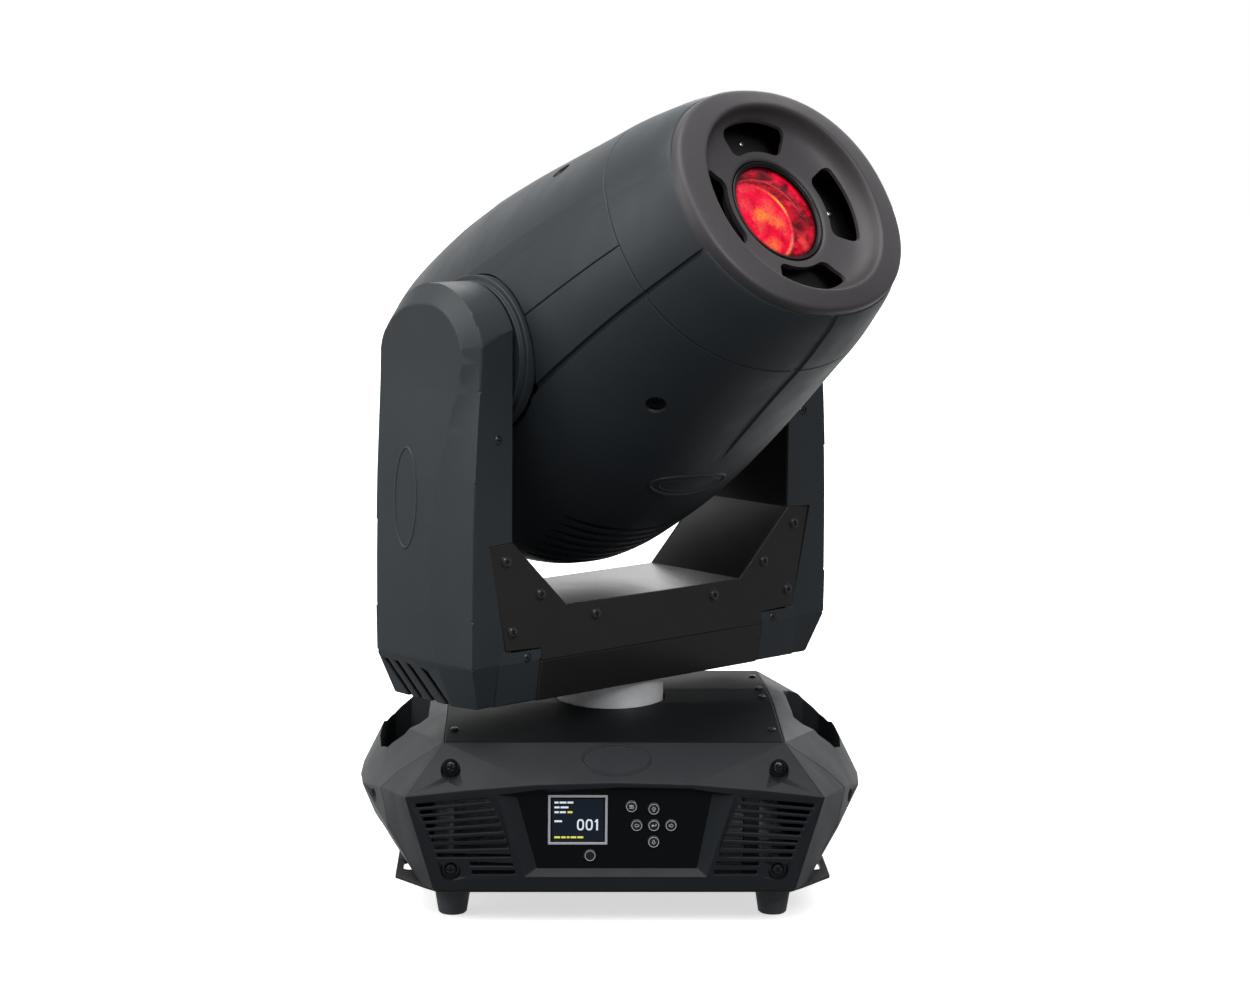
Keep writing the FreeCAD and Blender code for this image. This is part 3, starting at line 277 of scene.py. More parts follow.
def lens_mat():
    """front lens whose emission paints the lit colour disc seen through it, painted highlight arcs and painted shade;
    UV is the lens face, -1..1
    """
    m, nt, b = new_mat("lens_painted_glow")
    uv = nt.nodes.new("ShaderNodeTexCoord").outputs["UV"]

    def dist(cx, cy, sx=1.0, sy=1.0, src=None):
        mp = nt.nodes.new("ShaderNodeMapping")
        mp.inputs["Location"].default_value = (-cx * sx, -cy * sy, 0)
        mp.inputs["Scale"].default_value = (sx, sy, 1)
        nt.links.new(uv if src is None else src, mp.inputs["Vector"])
        ln = nt.nodes.new("ShaderNodeVectorMath")
        ln.operation = "LENGTH"
        nt.links.new(mp.outputs["Vector"], ln.inputs[0])
        return ln.outputs["Value"]

    def mix(a, c_, f, kind="MIX"):
        n = nt.nodes.new("ShaderNodeMix")
        n.data_type = "RGBA"
        n.blend_type = kind
        if isinstance(f, float):
            n.inputs["Factor"].default_value = f
        else:
            nt.links.new(f, n.inputs["Factor"])
        for q, w in (("A", a), ("B", c_)):
            if isinstance(w, tuple):
                n.inputs[q].default_value = w
            else:
                nt.links.new(w, n.inputs[q])
        return n.outputs["Result"]

    def mul(a, c_):
        return mix(a, c_, 1.0, "MULTIPLY")

    def add(a, c_):
        return mix(a, c_, 1.0, "ADD")

    K, W = (0, 0, 0, 1), (1, 1, 1, 1)
    # rippled coordinates, so that the patches have soft torn borders
    nz = nt.nodes.new("ShaderNodeTexNoise")
    nz.inputs["Scale"].default_value = 4.0
    nz.inputs["Detail"].default_value = 3.0
    nt.links.new(uv, nz.inputs["Vector"])
    off = nt.nodes.new("ShaderNodeVectorMath")
    off.operation = "MULTIPLY_ADD"
    off.inputs[1].default_value = (0.34, 0.34, 0.0)
    off.inputs[2].default_value = (-0.17, -0.17, 0.0)
    nt.links.new(nz.outputs["Color"], off.inputs[0])
    wob = nt.nodes.new("ShaderNodeVectorMath")
    wob.operation = "ADD"
    nt.links.new(uv, wob.inputs[0])
    nt.links.new(off.outputs[0], wob.inputs[1])
    wob = wob.outputs[0]
    # left: the painted image of the lit disc, with painted hot patches and darker patches
    d1 = dist(-0.66, -0.22, 1.0, 1.0)
    disc = ramp(nt, d1, [(0.0, W), (0.83, W), (0.885, K)])
    inner = ramp(nt, noise(nt, uv, 3.4, 3.0, 0.6), [(0.30, (0.44, 0.0, 0.012, 1)), (0.42, (0.78, 0.0, 0.030, 1)), (0.56, (0.90, 0.003, 0.048, 1)), (0.68, (0.90, 0.045, 0.075, 1))])
    painted_disc_glow = None
    for cx, cy, sx, sy, col in ((-0.46, -0.10, 3.0, 4.4, (0.93, 0.22, 0.045, 1)), (-0.14, -0.24, 4.0, 5.4, (0.90, 0.16, 0.045, 1)),
                                (-0.23, 0.06, 5.0, 4.2, (0.84, 0.09, 0.060, 1)), (-0.44, -0.74, 4.2, 5.6, (0.88, 0.14, 0.045, 1)),
                                (-0.62, -0.34, 5.0, 5.4, (0.82, 0.06, 0.060, 1)), (-0.80, 0.22, 5.0, 3.4, (0.80, 0.04, 0.060, 1)),
                                (-0.52, 0.56, 3.6, 6.0, (0.66, 0.03, 0.050, 1)), (-0.06, -0.46, 5.0, 5.4, (0.80, 0.05, 0.060, 1))):
        f = ramp(nt, dist(cx, cy, sx, sy, wob), [(0.0, W), (0.30, (0.75, 0.75, 0.75, 1)), (1.0, K)])
        painted_disc_glow = mix(inner if painted_disc_glow is None else painted_disc_glow, col, f)
    for cx, cy, sx, sy in ((-0.42, -0.42, 3.6, 6.0), (-0.56, 0.20, 6.0, 4.4)):
        f = ramp(nt, dist(cx, cy, sx, sy, wob), [(0.0, (0.8, 0.8, 0.8, 1)), (0.35, (0.5, 0.5, 0.5, 1)), (1.0, K)])
        painted_disc_glow = mix(painted_disc_glow, (0.55, 0.0, 0.016, 1), f)
    # right: the painted shade crescent with its painted highlight streaks
    st = nt.nodes.new("ShaderNodeMapping")
    st.inputs["Rotation"].default_value = (0, 0, math.radians(-58))
    st.inputs["Scale"].default_value = (1.0, 3.2, 1.0)
    nt.links.new(wob, st.inputs["Vector"])
    outer = ramp(nt, noise(nt, st.outputs[0], 2.6, 3.0, 0.6), [(0.34, (0.075, 0.0, 0.004, 1)), (0.47, (0.26, 0.0, 0.010, 1)), (0.58, (0.55, 0.0, 0.018, 1)), (0.70, (0.80, 0.012, 0.035, 1))])
    for cx, cy, sx, sy, col in ((0.42, 0.74, 3.6, 5.0, (0.86, 0.004, 0.035, 1)), (0.70, 0.46, 5.4, 3.4, (0.86, 0.004, 0.040, 1)),
                                (0.76, -0.52, 5.4, 3.2, (0.66, 0.002, 0.025, 1)), (0.40, -0.66, 5.6, 3.2, (0.86, 0.05, 0.050, 1)),
                                (0.34, -0.10, 5.0, 7.0, (0.70, 0.0, 0.026, 1))):
        f = ramp(nt, dist(cx, cy, sx, sy, wob), [(0.0, W), (0.35, (0.7, 0.7, 0.7, 1)), (1.0, K)])
        outer = mix(outer, col, f)
    for cx, cy, sx, sy in ((0.36, -0.36, 3.6, 4.6), (0.06, 0.80, 2.6, 7.0), (0.66, -0.16, 4.6, 4.2), (-0.50, 0.80, 3.2, 7.5), (0.44, 0.52, 4.6, 4.6)):
        f = ramp(nt, dist(cx, cy, sx, sy, wob), [(0.0, (0.92, 0.92, 0.92, 1)), (0.4, (0.6, 0.6, 0.6, 1)), (1.0, K)])
        outer = mix(outer, (0.028, 0.0, 0.002, 1), f)
    d3 = dist(-0.40, -0.30, 0.8, 0.8)
    # painted highlight: a thin bright arc painted into the emission
    painted_highlight_line = ramp(nt, d3, [(0.795, K), (0.815, (0.60, 0.06, 0.09, 1)), (0.835, (0.10, 0.0, 0.01, 1)), (0.86, K)])
    body = mix(outer, painted_disc_glow, disc)
    sep = nt.nodes.new("ShaderNodeSeparateXYZ")
    nt.links.new(uv, sep.inputs[0])
    sy_ = nt.nodes.new("ShaderNodeMath")
    sy_.operation = "MULTIPLY_ADD"
    sy_.inputs[1].default_value = 0.5
    sy_.inputs[2].default_value = 0.5
    nt.links.new(sep.outputs["Y"], sy_.inputs[0])
    along = ramp(nt, sy_.outputs[0], [(0.03, (0.9, 0.16, 0.10, 1)), (0.14, (0.95, 0.22, 0.15, 1)), (0.26, (0.55, 0.04, 0.05, 1)), (0.42, (0.72, 0.06, 0.06, 1)),
                                      (0.53, (1.0, 0.42, 0.06, 1)), (0.62, (1.0, 0.30, 0.05, 1)), (0.70, (0.80, 0.09, 0.07, 1)), (0.80, (0.30, 0.01, 0.02, 1)), (0.86, K)])
    # painted highlight: a bright arc along the rim of the lit disc, coloured along the lens height
    painted_highlight_arc = ramp(nt, d1, [(0.80, K), (0.838, (0.85, 0.85, 0.85, 1)), (0.862, W), (0.885, (0.5, 0.5, 0.5, 1)), (0.91, K)])
    body = mix(body, mul(painted_highlight_arc, along), 1.0, "LIGHTEN")
    body = mix(body, mul(painted_highlight_line, ramp(nt, sy_.outputs[0], [(0.40, K), (0.56, W), (0.80, W), (0.9, (0.4, 0.4, 0.4, 1))])), 1.0, "LIGHTEN")
    fine = ramp(nt, noise(nt, uv, 16.0, 2.0, 0.6), [(0.30, (0.72, 0.6, 0.6, 1)), (0.50, (1, 1, 1, 1)), (0.72, (1.08, 1.5, 1.4, 1))])
    body = mul(body, fine)
    # painted shade: the emission darkens towards the lens rim at the retaining ring
    edge = ramp(nt, dist(0, 0), [(0.0, W), (0.90, W), (0.955, (0.45, 0.45, 0.45, 1)), (0.99, (0.06, 0.06, 0.06, 1))])
    body = mul(body, edge)
    # the lens glows with this painted light, which stands in for the lit disc seen through the glass and its
    # reflections
    nt.links.new(body, b.inputs["Emission Color"])
    b.inputs["Emission Strength"].default_value = 1.12
    b.inputs["Base Color"].default_value = (0.03, 0.001, 0.002, 1)
    b.inputs["Roughness"].default_value = 0.06
    b.inputs["Specular IOR Level"].default_value = 0.2
    bump(nt, b, [(noise(nt, uv, 3.0, 2.0), 0.05, 0.0004)])
    return m


def collar_mat():
    """bright turned collar: brushed rings over a light satin metal"""
    turned("collar_aluminium", (0.93, 0.935, 0.94), 0.36)
    m = bpy.data.materials["collar_aluminium"]
    b = [n for n in m.node_tree.nodes if n.type == "BSDF_PRINCIPLED"][0]
    b.inputs["Metallic"].default_value = 0.35
    return m


MAT = {
    "shell": plastic("shell_charcoal", (0.0225, 0.0280, 0.0325), 0.47),
    "head": plastic("head_charcoal", (0.0205, 0.0265, 0.0315), 0.48, spec=0.42),
    "ring": plastic("ring_charcoal", (0.046, 0.0415, 0.045), 0.46),
    "base": plastic("base_charcoal", (0.0076, 0.0100, 0.0126), 0.50, spec=0.27),
    "handle": plastic("handle_charcoal", (0.0158, 0.0182, 0.0208), 0.52, spec=0.33),
    "top": painted("top_cover_paint", (0.0042, 0.0054, 0.0066), 0.58, spec=0.09),
    "plate": painted("yoke_plate_paint", (0.0160, 0.0145, 0.0150), 0.32, coat=0.12),
    "cradle": painted("cradle_paint", (0.016, 0.015, 0.015), 0.24, depth=0.000003, coat=0.1),
    "plinth": painted("base_plate_paint", (0.020, 0.020, 0.021), 0.42),
    "frame": painted("frame_paint", (0.25, 0.255, 0.26), 0.38, metal=0.8),
    "screw": painted("screw_oxide", (0.055, 0.056, 0.060), 0.26, metal=0.65, peel=2400.0, depth=0.00002, coat=0.2),
    "rubber": rubber("foot_rubber", (0.066, 0.073, 0.080)),
    "belt": rubber("belt_rubber", (0.012, 0.012, 0.012)),
    "panel": plastic("panel_gloss", (0.0022, 0.0026, 0.0036), 0.16, 2600.0, 0.00001, 0.05, 0.20, 0.0, 0.02),
    "key": plastic("key_black", (0.010, 0.010, 0.012), 0.34, 2200.0, 0.00003),
    "bezel": printed("bezel_grey", (0.42, 0.43, 0.47), 0.35),
    "screen": plastic("screen_slate", (0.008, 0.014, 0.024), 0.20, 3000.0, 0.00001, 0.04, 0.30, 0.0, 0.05),
    "print": printed("key_print", (0.66, 0.67, 0.68)),
    "white_px": glow("pixels_white", (0.80, 0.88, 0.95), 0.75),
    "yellow_px": glow("pixels_yellow", (0.85, 0.78, 0.12), 0.8),
    "board": board_mat(),
    "collar": collar_mat(),
    "steel": turned("bearing_steel", (0.50, 0.50, 0.51), 0.26),
    "alu": turned("cast_aluminium", (0.56, 0.57, 0.58), 0.40, rings=1400.0),
    "motor": painted("motor_enamel", (0.02, 0.02, 0.022), 0.35),
    "black": plastic("black_plastic", (0.014, 0.014, 0.015), 0.42),
    "socket": plastic("socket_black", (0.012, 0.012, 0.013), 0.36),
    "pin": turned("contact_brass", (0.78, 0.68, 0.42), 0.25),
    "lens": lens_mat(),
    "barrel": painted("barrel_anodised", (0.010, 0.010, 0.011), 0.30, metal=0.5),
    "dichroic": plastic("dichroic_glass", (0.30, 0.04, 0.05), 0.10, 4000.0, 0.00001, 0.2, 0.5, 0.0, 0.5),
    "inner": plastic("inner_black", (0.006, 0.006, 0.0065), 0.55),
}

NODE_MAT = {
    "base_plate": "plinth", "base_frame": "frame", "base_front_cover": "base", "base_rear_cover": "base",
    "left_handle_cover": "handle", "right_handle_cover": "handle", "top_cover": "top", "rubber_feet": "rubber",
    "base_cover_screws": "screw", "top_cover_screws": "screw", "control_panel": "panel", "display_bezel": "bezel",
    "display_screen": "screen", "control_board": "board", "rear_connector_plate": "plinth", "mains_inlet": "socket",
    "data_connectors": "socket", "power_supply": "alu", "lamp_ballast": "alu", "pan_motor": "motor",
    "pan_bearing": "steel", "pan_belt": "belt", "base_fan_frame": "black", "menu_key": "key", "up_key": "key",
    "down_key": "key", "left_key": "key", "right_key": "key", "enter_key": "key", "display_switch": "key",
    "base_fan_rotor": "black", "pan_motor_pulley": "alu", "pan_shaft": "collar", "pan_pulley": "alu",
    "yoke_cradle": "cradle", "yoke_front_plate": "plate", "yoke_rear_plate": "plate", "yoke_bottom_pan": "plate",
    "left_arm_cover": "shell", "right_arm_cover": "shell", "yoke_plate_screws": "screw", "arm_cover_screws": "screw",
    "tilt_motor": "motor", "tilt_bearings": "steel", "tilt_belt": "belt", "tilt_motor_pulley": "alu",
    "head_top_cover": "head", "head_bottom_cover": "head", "nose_cover": "head", "front_ring": "ring",
    "front_lens": "lens", "lens_barrel": "barrel", "head_chassis": "alu", "lamp_module": "alu", "trunnions": "head",
    "tilt_pulley": "alu", "head_cover_screws": "screw", "color_wheel": "dichroic", "gobo_wheel": "steel",
    "focus_carriage": "alu",
}


def dress(obj, key):
    obj.data.materials.clear()
    obj.data.materials.append(MAT[key])
    for p in obj.data.polygons:
        p.material_index = 0


for n_, o_ in nodes.items():
    dress(o_, NODE_MAT[n_])


# ------------------------------------------------------------------ mesh helpers
def link(name, mesh):
    o = bpy.data.objects.new(name, mesh)
    bpy.context.scene.collection.objects.link(o)
    return o


def smooth(mesh, deg=32.0):
    mesh.polygons.foreach_set("use_smooth", [True] * len(mesh.polygons))
    mesh.set_sharp_from_angle(angle=math.radians(deg))


def adopt(obj, node, key=None, body=None, replace=True):
    dress(obj, key or NODE_MAT[node])
    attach(obj, body or body_of[node])
    if replace:
        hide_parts(node)
    return obj


def clean(bm):
    bmesh.ops.remove_doubles(bm, verts=bm.verts[:], dist=2e-6)
    bmesh.ops.dissolve_degenerate(bm, edges=bm.edges[:], dist=1e-6)


def roomy(es, width):
    """drop the edges whose neighbours are too short to take the rounding"""
    es = [e for e in es if e.calc_length() > 2.2 * width]
    out = []
    for e in es:
        ok = True
        d = (e.verts[1].co - e.verts[0].co).normalized()
        for f in e.link_faces:
            # distance from the edge to the far side of each face must leave room
            far = max((v.co - e.verts[0].co - d * (v.co - e.verts[0].co).dot(d)).length for v in f.verts)
            if far < 2.2 * width:
                ok = False
                break
            for v in e.verts:
                for g in v.link_edges:
                    if g is not e and g in f.edges and g.calc_length() < 2.2 * width:
                        ok = False
        if ok:
            out.append(e)
    return out


def refine(node, width=0.0008, angle=30.0, seg=2, deg=35.0, keep=None, piece=None, flat=True, room=True):
    """the node's own form with its edges broken by a small rounding"""
    bm = bmesh.new()
    bm.from_mesh(nodes[node].data)
    clean(bm)
    if flat:
        bmesh.ops.dissolve_limit(bm, angle_limit=math.radians(0.6), verts=bm.verts[:], edges=bm.edges[:], use_dissolve_boundaries=False)
    es = [e for e in bm.edges if len(e.link_faces) == 2 and e.calc_face_angle(0.0) > math.radians(angle)]
    if keep:
        es = [e for e in es if keep(e)]
    if room:
        es = roomy(es, width)
    if es and width > 0:
        bmesh.ops.bevel(bm, geom=es, offset=width, offset_type="OFFSET", segments=seg, profile=0.5,
                        affect="EDGES", clamp_overlap=False, loop_slide=False, miter_outer="SHARP", harden_normals=False)
    bmesh.ops.triangulate(bm, faces=[f for f in bm.faces if len(f.verts) > 4])
    me = bpy.data.meshes.new((piece or node) + "_form")
    bm.to_mesh(me)
    bm.free()
    smooth(me, deg)
    o = link((piece or node) + "_form", me)
    wn = o.modifiers.new("flat_faces", "WEIGHTED_NORMAL")
    wn.mode = "FACE_AREA"
    wn.weight = 60
    wn.keep_sharp = True
    return adopt(o, node)


def mesh_obj(name, verts, faces, m=None, deg=32.0, merge=True):
    me = bpy.data.meshes.new(name)
    me.from_pydata([tuple(v) for v in verts], [], faces)
    if m is not None:
        me.transform(m)
    bm = bmesh.new()
    bm.from_mesh(me)
    if merge:
        bmesh.ops.remove_doubles(bm, verts=bm.verts[:], dist=1e-7)
    bmesh.ops.recalc_face_normals(bm, faces=bm.faces[:])
    bm.to_mesh(me)
    bm.free()
    smooth(me, deg)
    return link(name, me)


def join_meshes(name, parts, m=None, deg=32.0):
    vs, fs = [], []
    for v, f in parts:
        k = len(vs)
        vs += list(v)
        fs += [tuple(i + k for i in q) for q in f]
    return mesh_obj(name, vs, fs, m, deg, merge=False)


def boolean(obj, cutters, op="DIFFERENCE"):
    for c in cutters:
        md = obj.modifiers.new("cut", "BOOLEAN")
        md.operation = op
        md.solver = "EXACT"
        md.object = c
    dg = bpy.context.evaluated_depsgraph_get()
    dg.update()
    me = bpy.data.meshes.new_from_object(obj.evaluated_get(dg))
    obj.modifiers.clear()
    old = obj.data
    obj.data = me
    bpy.data.meshes.remove(old)
    for c in cutters:
        bpy.data.objects.remove(c)
    smooth(obj.data, 30)
    return obj


def prism(pts, d0, d1):
    """closed prism from an outline of 3-D points and two offsets"""
    n = len(pts)
    v = [Vector(p) + Vector(d0) for p in pts] + [Vector(p) + Vector(d1) for p in pts]
    f = [tuple(range(n))[::-1], tuple(range(n, 2 * n))]
    f += [(i, (i + 1) % n, n + (i + 1) % n, n + i) for i in range(n)]
    return v, f


def frame_of(d):
    d = Vector(d).normalized()
    a = Vector((0, 0, 1)) if abs(d.z) < 0.9 else Vector((1, 0, 0))
    e1 = d.cross(a).normalized()
    e2 = d.cross(e1).normalized()
    return d, e1, e2


def lathe(c, d, prof, seg=48, ends=True):
    """closed body turned from a profile of (radius, height) points, from axis to axis"""
    d, e1, e2 = frame_of(d)
    c = Vector(c)
    vs, fs = [], []
    n = len(prof)
    for r, h in prof:
        for k in range(seg):
            a = 2 * math.pi * k / seg
            vs.append(c + d * h + (e1 * math.cos(a) + e2 * math.sin(a)) * max(r, 0.0))
    for i in range(n - 1):
        for k in range(seg):
            k2 = (k + 1) % seg
            fs.append((i * seg + k, i * seg + k2, (i + 1) * seg + k2, (i + 1) * seg + k))
    if ends:
        fs.append(tuple(range(seg))[::-1])
        fs.append(tuple(range((n - 1) * seg, n * seg)))
    return vs, fs


def screw_part(c, d, r, h, turn=0.3, washer=0.0):
    """pan-head screw with a cross recess; c is under the head"""
    d, e1, e2 = frame_of(d)
    c = Vector(c)
    rings, seg = 15, 48
    top, vs, fs = [], [], []
    for i in range(rings):
        q = i / (rings - 1)
        rr = r * 0.965 * math.sin(q * math.pi / 2) ** 0.85
        for k in range(seg):
            a = 2 * math.pi * k / seg
            x, y = rr * math.cos(a), rr * math.sin(a)
            z = h * math.sqrt(max(0.0, 1 - 0.72 * (rr / r) ** 2.6))
            ca, sa = math.cos(turn), math.sin(turn)
            xa, ya = abs(x * ca + y * sa), abs(-x * sa + y * ca)
            lo, hi = min(xa, ya), max(xa, ya)
            arm = max(0.0, min(1.0, (r * 0.13 - lo) / (r * 0.06))) * max(0.0, min(1.0, (r * 0.56 - hi) / (r * 0.10)))
            hub = max(0.0, min(1.0, (r * 0.24 - (lo + hi)) / (r * 0.08)))
            z -= h * 0.62 * max(arm, hub)
            vs.append(c + d * z + e1 * x + e2 * y)
    for i in range(rings - 1):
        for k in range(seg):
            k2 = (k + 1) % seg
            fs.append((i * seg + k, i * seg + k2, (i + 1) * seg + k2, (i + 1) * seg + k))
    last = (rings - 1) * seg
    for rr, z in ((r, h * 0.30), (r, h * 0.06), (r * 0.96, 0.0), (r * 0.3, -0.0)):
        base = len(vs)
        for k in range(seg):
            a = 2 * math.pi * k / seg
            vs.append(c + d * z + (e1 * math.cos(a) + e2 * math.sin(a)) * rr)
        for k in range(seg):
            k2 = (k + 1) % seg
            fs.append((last + k, last + k2, base + k2, base + k))
        last = base
    fs.append(tuple(range(last, last + seg)))
    # the little spiral start at the centre is closed by its own ring of coincident points
    if washer > 0:
        v2, f2 = lathe(c, d, [(0.0001, -0.0001), (washer, -0.0001), (washer, 0.00035), (washer * 0.97, 0.0005), (0.0001, 0.0005)], 48)
        k0 = len(vs)
        vs += v2
        fs += [tuple(i + k0 for i in q) for q in f2]
    return vs, fs


def screws(node, items, m, piece):
    parts = []
    for i, (c, d, r, h, w) in enumerate(items):
        parts.append(screw_part(Vector(c) / 1000.0, d, r / 1000.0, h / 1000.0, 0.35 + 1.7 * i, w / 1000.0))
    o = join_meshes(piece, parts, m, 28)
    bm = bmesh.new()
    bm.from_mesh(o.data)
    bmesh.ops.remove_doubles(bm, verts=bm.verts[:], dist=1e-6)
    bmesh.ops.dissolve_degenerate(bm, edges=bm.edges[:], dist=1e-7)
    bmesh.ops.recalc_face_normals(bm, faces=bm.faces[:])
    bm.to_mesh(o.data)
    bm.free()
    smooth(o.data, 28)
    return adopt(o, node)


# ------------------------------------------------------------------ head shells
HEAD = np.array([(-182.0, 88.0, 70.0, 2.6), (-176.0, 99.0, 86.0, 2.5), (-160.0, 116.0, 111.0, 2.4),
                 (-134.0, 134.0, 136.0, 2.3), (-119.0, 140.0, 143.5, 2.25), (-80.0, 145.5, 148.5, 2.2),
                 (-40.0, 147.5, 149.0, 2.2), (0.0, 147.5, 146.5, 2.2), (50.0, 147.0, 139.3, 2.2),
                 (100.0, 144.0, 129.8, 2.2), (146.0, 138.5, 121.0, 2.2), (175.0, 133.0, 116.2, 2.2),
                 (205.0, 124.0, 109.0, 2.2), (226.0, 116.5, 102.8, 2.2), (233.0, 112.5, 99.5, 2.2)])


def pchip(x, y, q):
    """smooth curve through the stations that doesn't overshoot"""
    h = np.diff(x)
    d = np.diff(y) / h
    m = np.zeros(len(x))
    for i in range(1, len(x) - 1):
        if d[i - 1] * d[i] > 0:
            w1, w2 = 2 * h[i] + h[i - 1], h[i] + 2 * h[i - 1]
            m[i] = (w1 + w2) / (w1 / d[i - 1] + w2 / d[i])
    m[0], m[-1] = d[0], d[-1]
    i = int(np.clip(np.searchsorted(x, q) - 1, 0, len(h) - 1))
    t = (q - x[i]) / h[i]
    return ((1 + 2 * t) * (1 - t) ** 2 * y[i] + t * (1 - t) ** 2 * h[i] * m[i]
            + t * t * (3 - 2 * t) * y[i + 1] + t * t * (t - 1) * h[i] * m[i + 1])


def section(L):
    return [float(pchip(HEAD[:, 0], HEAD[:, k], L)) for k in (1, 2, 3)]


def step(x, a, b):
    t = max(0.0, min(1.0, (x - a) / (b - a)))
    return t * t * (3 - 2 * t)


def relief(L, th):
    """how far the skin stands in (-) from the plain form, mm; th in degrees, 0 = right side, 90 = top"""
    th = (th + 180.0) % 360.0 - 180.0
    a = 180.0 - abs(th) if abs(th) > 90 else abs(th)      # angle away from the side's middle
    up = th > 0
    f = step(L, -158.0, -138.0)
    d = 0.0
    if up:
        # flat chamfer from the crease at 25 deg down to the side panel at 18.5 deg
        if a <= 18.5:
            d = -1.5
        elif a < 25.0:
            d = -1.5 * (25.0 - a) / 6.5
    else:
        if a <= 18.2:
            d = -1.5
        elif a < 19.0:
            d = -1.5 - 2.6 * (a - 18.2) / 0.8
        elif a <= 20.2:
            d = -4.1
        elif a < 20.7:
            d = -4.1 * (20.7 - a) / 0.5
        # keel groove
        k = abs(abs(th) - 90.0)
        g = step(L, 56.0, 84.0)
        if k < 0.9:
            d -= 1.5 * g
        elif k < 1.5:
            d -= 1.5 * g * (1.5 - k) / 0.6
    return d * f


TH_MARKS = [18.2, 18.5, 19.0, 20.2, 20.7, 25.0]


def th_list(lo, hi, marks, coarse=2.5):
    """angles from lo to hi with every crease doubled by a close neighbour"""
    s = set(np.round(np.linspace(lo, hi, int((hi - lo) / coarse) + 1), 4))
    for m_ in marks:
        for q in (m_ - 0.12, m_, m_ + 0.12):
            if lo < q < hi:
                s.add(round(q, 4))
    out = sorted(s)
    keep = [out[0]]
    for q in out[1:]:
        if q - keep[-1] > 0.05:
            keep.append(q)
    keep[-1] = hi
    return keep


def skin(L, th, inner=0.0, scale=1.0, extra=0.0):
    W, H, p = section(min(L, 233.0))
    c, s = math.cos(math.radians(th)), math.sin(math.radians(th))
    x = math.copysign(abs(c) ** (2 / p), c)
    y = math.copysign(abs(s) ** (2 / p), s)
    nx = math.copysign(abs(x) ** (p - 1), x) / W
    ny = math.copysign(abs(y) ** (p - 1), y) / H
    ln = math.hypot(nx, ny)
    e = relief(L, th) + extra - inner
    return (W * x * scale + nx / ln * e * scale, H * y * scale + ny / ln * e * scale, L)


def patch(name, rows, ths, wrap, wall=2.6, tail=False, lip=0.55):
    """closed shell between rows of (L, scale) and a list of angles"""
    nR, nT = len(rows), len(ths)
    vs = []
    for side in (0, 1):
        for i, (L, sc) in enumerate(rows):
            for j, th in enumerate(ths):
                ex = 0.0
                if side == 0:
                    if not wrap and (j == 0 or j == nT - 1):
                        ex -= lip
                    if (not tail and i == 0) or i == nR - 1:
                        ex -= lip
                    vs.append(skin(L, th, 0.0, sc, ex))
                else:
                    Li = max(L, -182.0 + wall) if tail else L
                    vs.append(skin(Li, th, wall, sc if sc < 1 else 1.0))
    N = nR * nT
    fs = []
    J = nT if wrap else nT - 1
    for i in range(nR - 1):
        for j in range(J):
            k = (j + 1) % nT
            a, b, c, d = i * nT + j, i * nT + k, (i + 1) * nT + k, (i + 1) * nT + j
            fs.append((a, b, c, d))
            fs.append((N + d, N + c, N + b, N + a))
    for i in (0, nR - 1):
        for j in range(J):
            k = (j + 1) % nT
            a, b = i * nT + j, i * nT + k
            fs.append((b, a, N + a, N + b) if i == 0 else (a, b, N + b, N + a))
    if not wrap:
        for j in (0, nT - 1):
            for i in range(nR - 1):
                a, b = i * nT + j, (i + 1) * nT + j
                fs.append((a, b, N + b, N + a) if j == 0 else (b, a, N + a, N + b))
    return mesh_obj(name, [Vector(v) / 1000.0 for v in vs], fs, None, 30)


def L_rows(lo, hi, stepmm, marks=()):
    s = [lo] + [q for q in np.arange(math.ceil(lo / stepmm) * stepmm, hi, stepmm) if lo + 1.5 < q < hi - 1.5] + list(marks) + [hi]
    return sorted(set(round(float(q), 3) for q in s))


tail_rows = [(-182.0, q) for q in (0.02, 0.3, 0.6, 0.85, 0.955)] + [(-181.7, 0.985)]
mid = [(L, 1.0) for L in L_rows(-181.0, 174.85, 6.0, (-176.0, -179.0, 174.1, -160.0, -157.0, 56.0, 84.0))]
top_ths = th_list(0.06, 179.94, [q for m_ in TH_MARKS for q in (m_, 180 - m_)] + [0.4, 179.6])
bot_ths = th_list(-179.94, -0.06, [-q for m_ in TH_MARKS for q in (m_, 180 - m_)] + [-0.4, -179.6, -90.9, -91.5, -89.1, -88.5])
head_top = patch("head_top_shell", tail_rows + mid, top_ths, False, tail=True)
head_bot = patch("head_bottom_shell", tail_rows + mid, bot_ths, False, tail=True)
nose_ths = sorted(set([round(q, 4) for q in top_ths[1:-1]] + [round(q, 4) for q in bot_ths[1:-1]] + [0.0, 179.999]))
nose_rows = [(L, 1.0) for L in L_rows(175.15, 232.9, 5.0, (175.9, 232.4))]
nose = patch("nose_shell", nose_rows, nose_ths, True)


def cyl_cutter(name, c, d, r, h, seg=64, r2=None):
    v, f = lathe(Vector(c) / 1000.0, d, [(r / 1000.0, 0.0), ((r2 or r) / 1000.0, h / 1000.0)], seg)
    return mesh_obj(name, v, f, None, 30)


def box_cutter(name, x0, x1, y0, y1, z0, z1, parts=None):
    pts = [(x0, y0, z0), (x1, y0, z0), (x1, y1, z0), (x0, y1, z0)]
    return prism([Vector(p) / 1000.0 for p in pts], (0, 0, 0), (0, 0, (z1 - z0) / 1000.0))


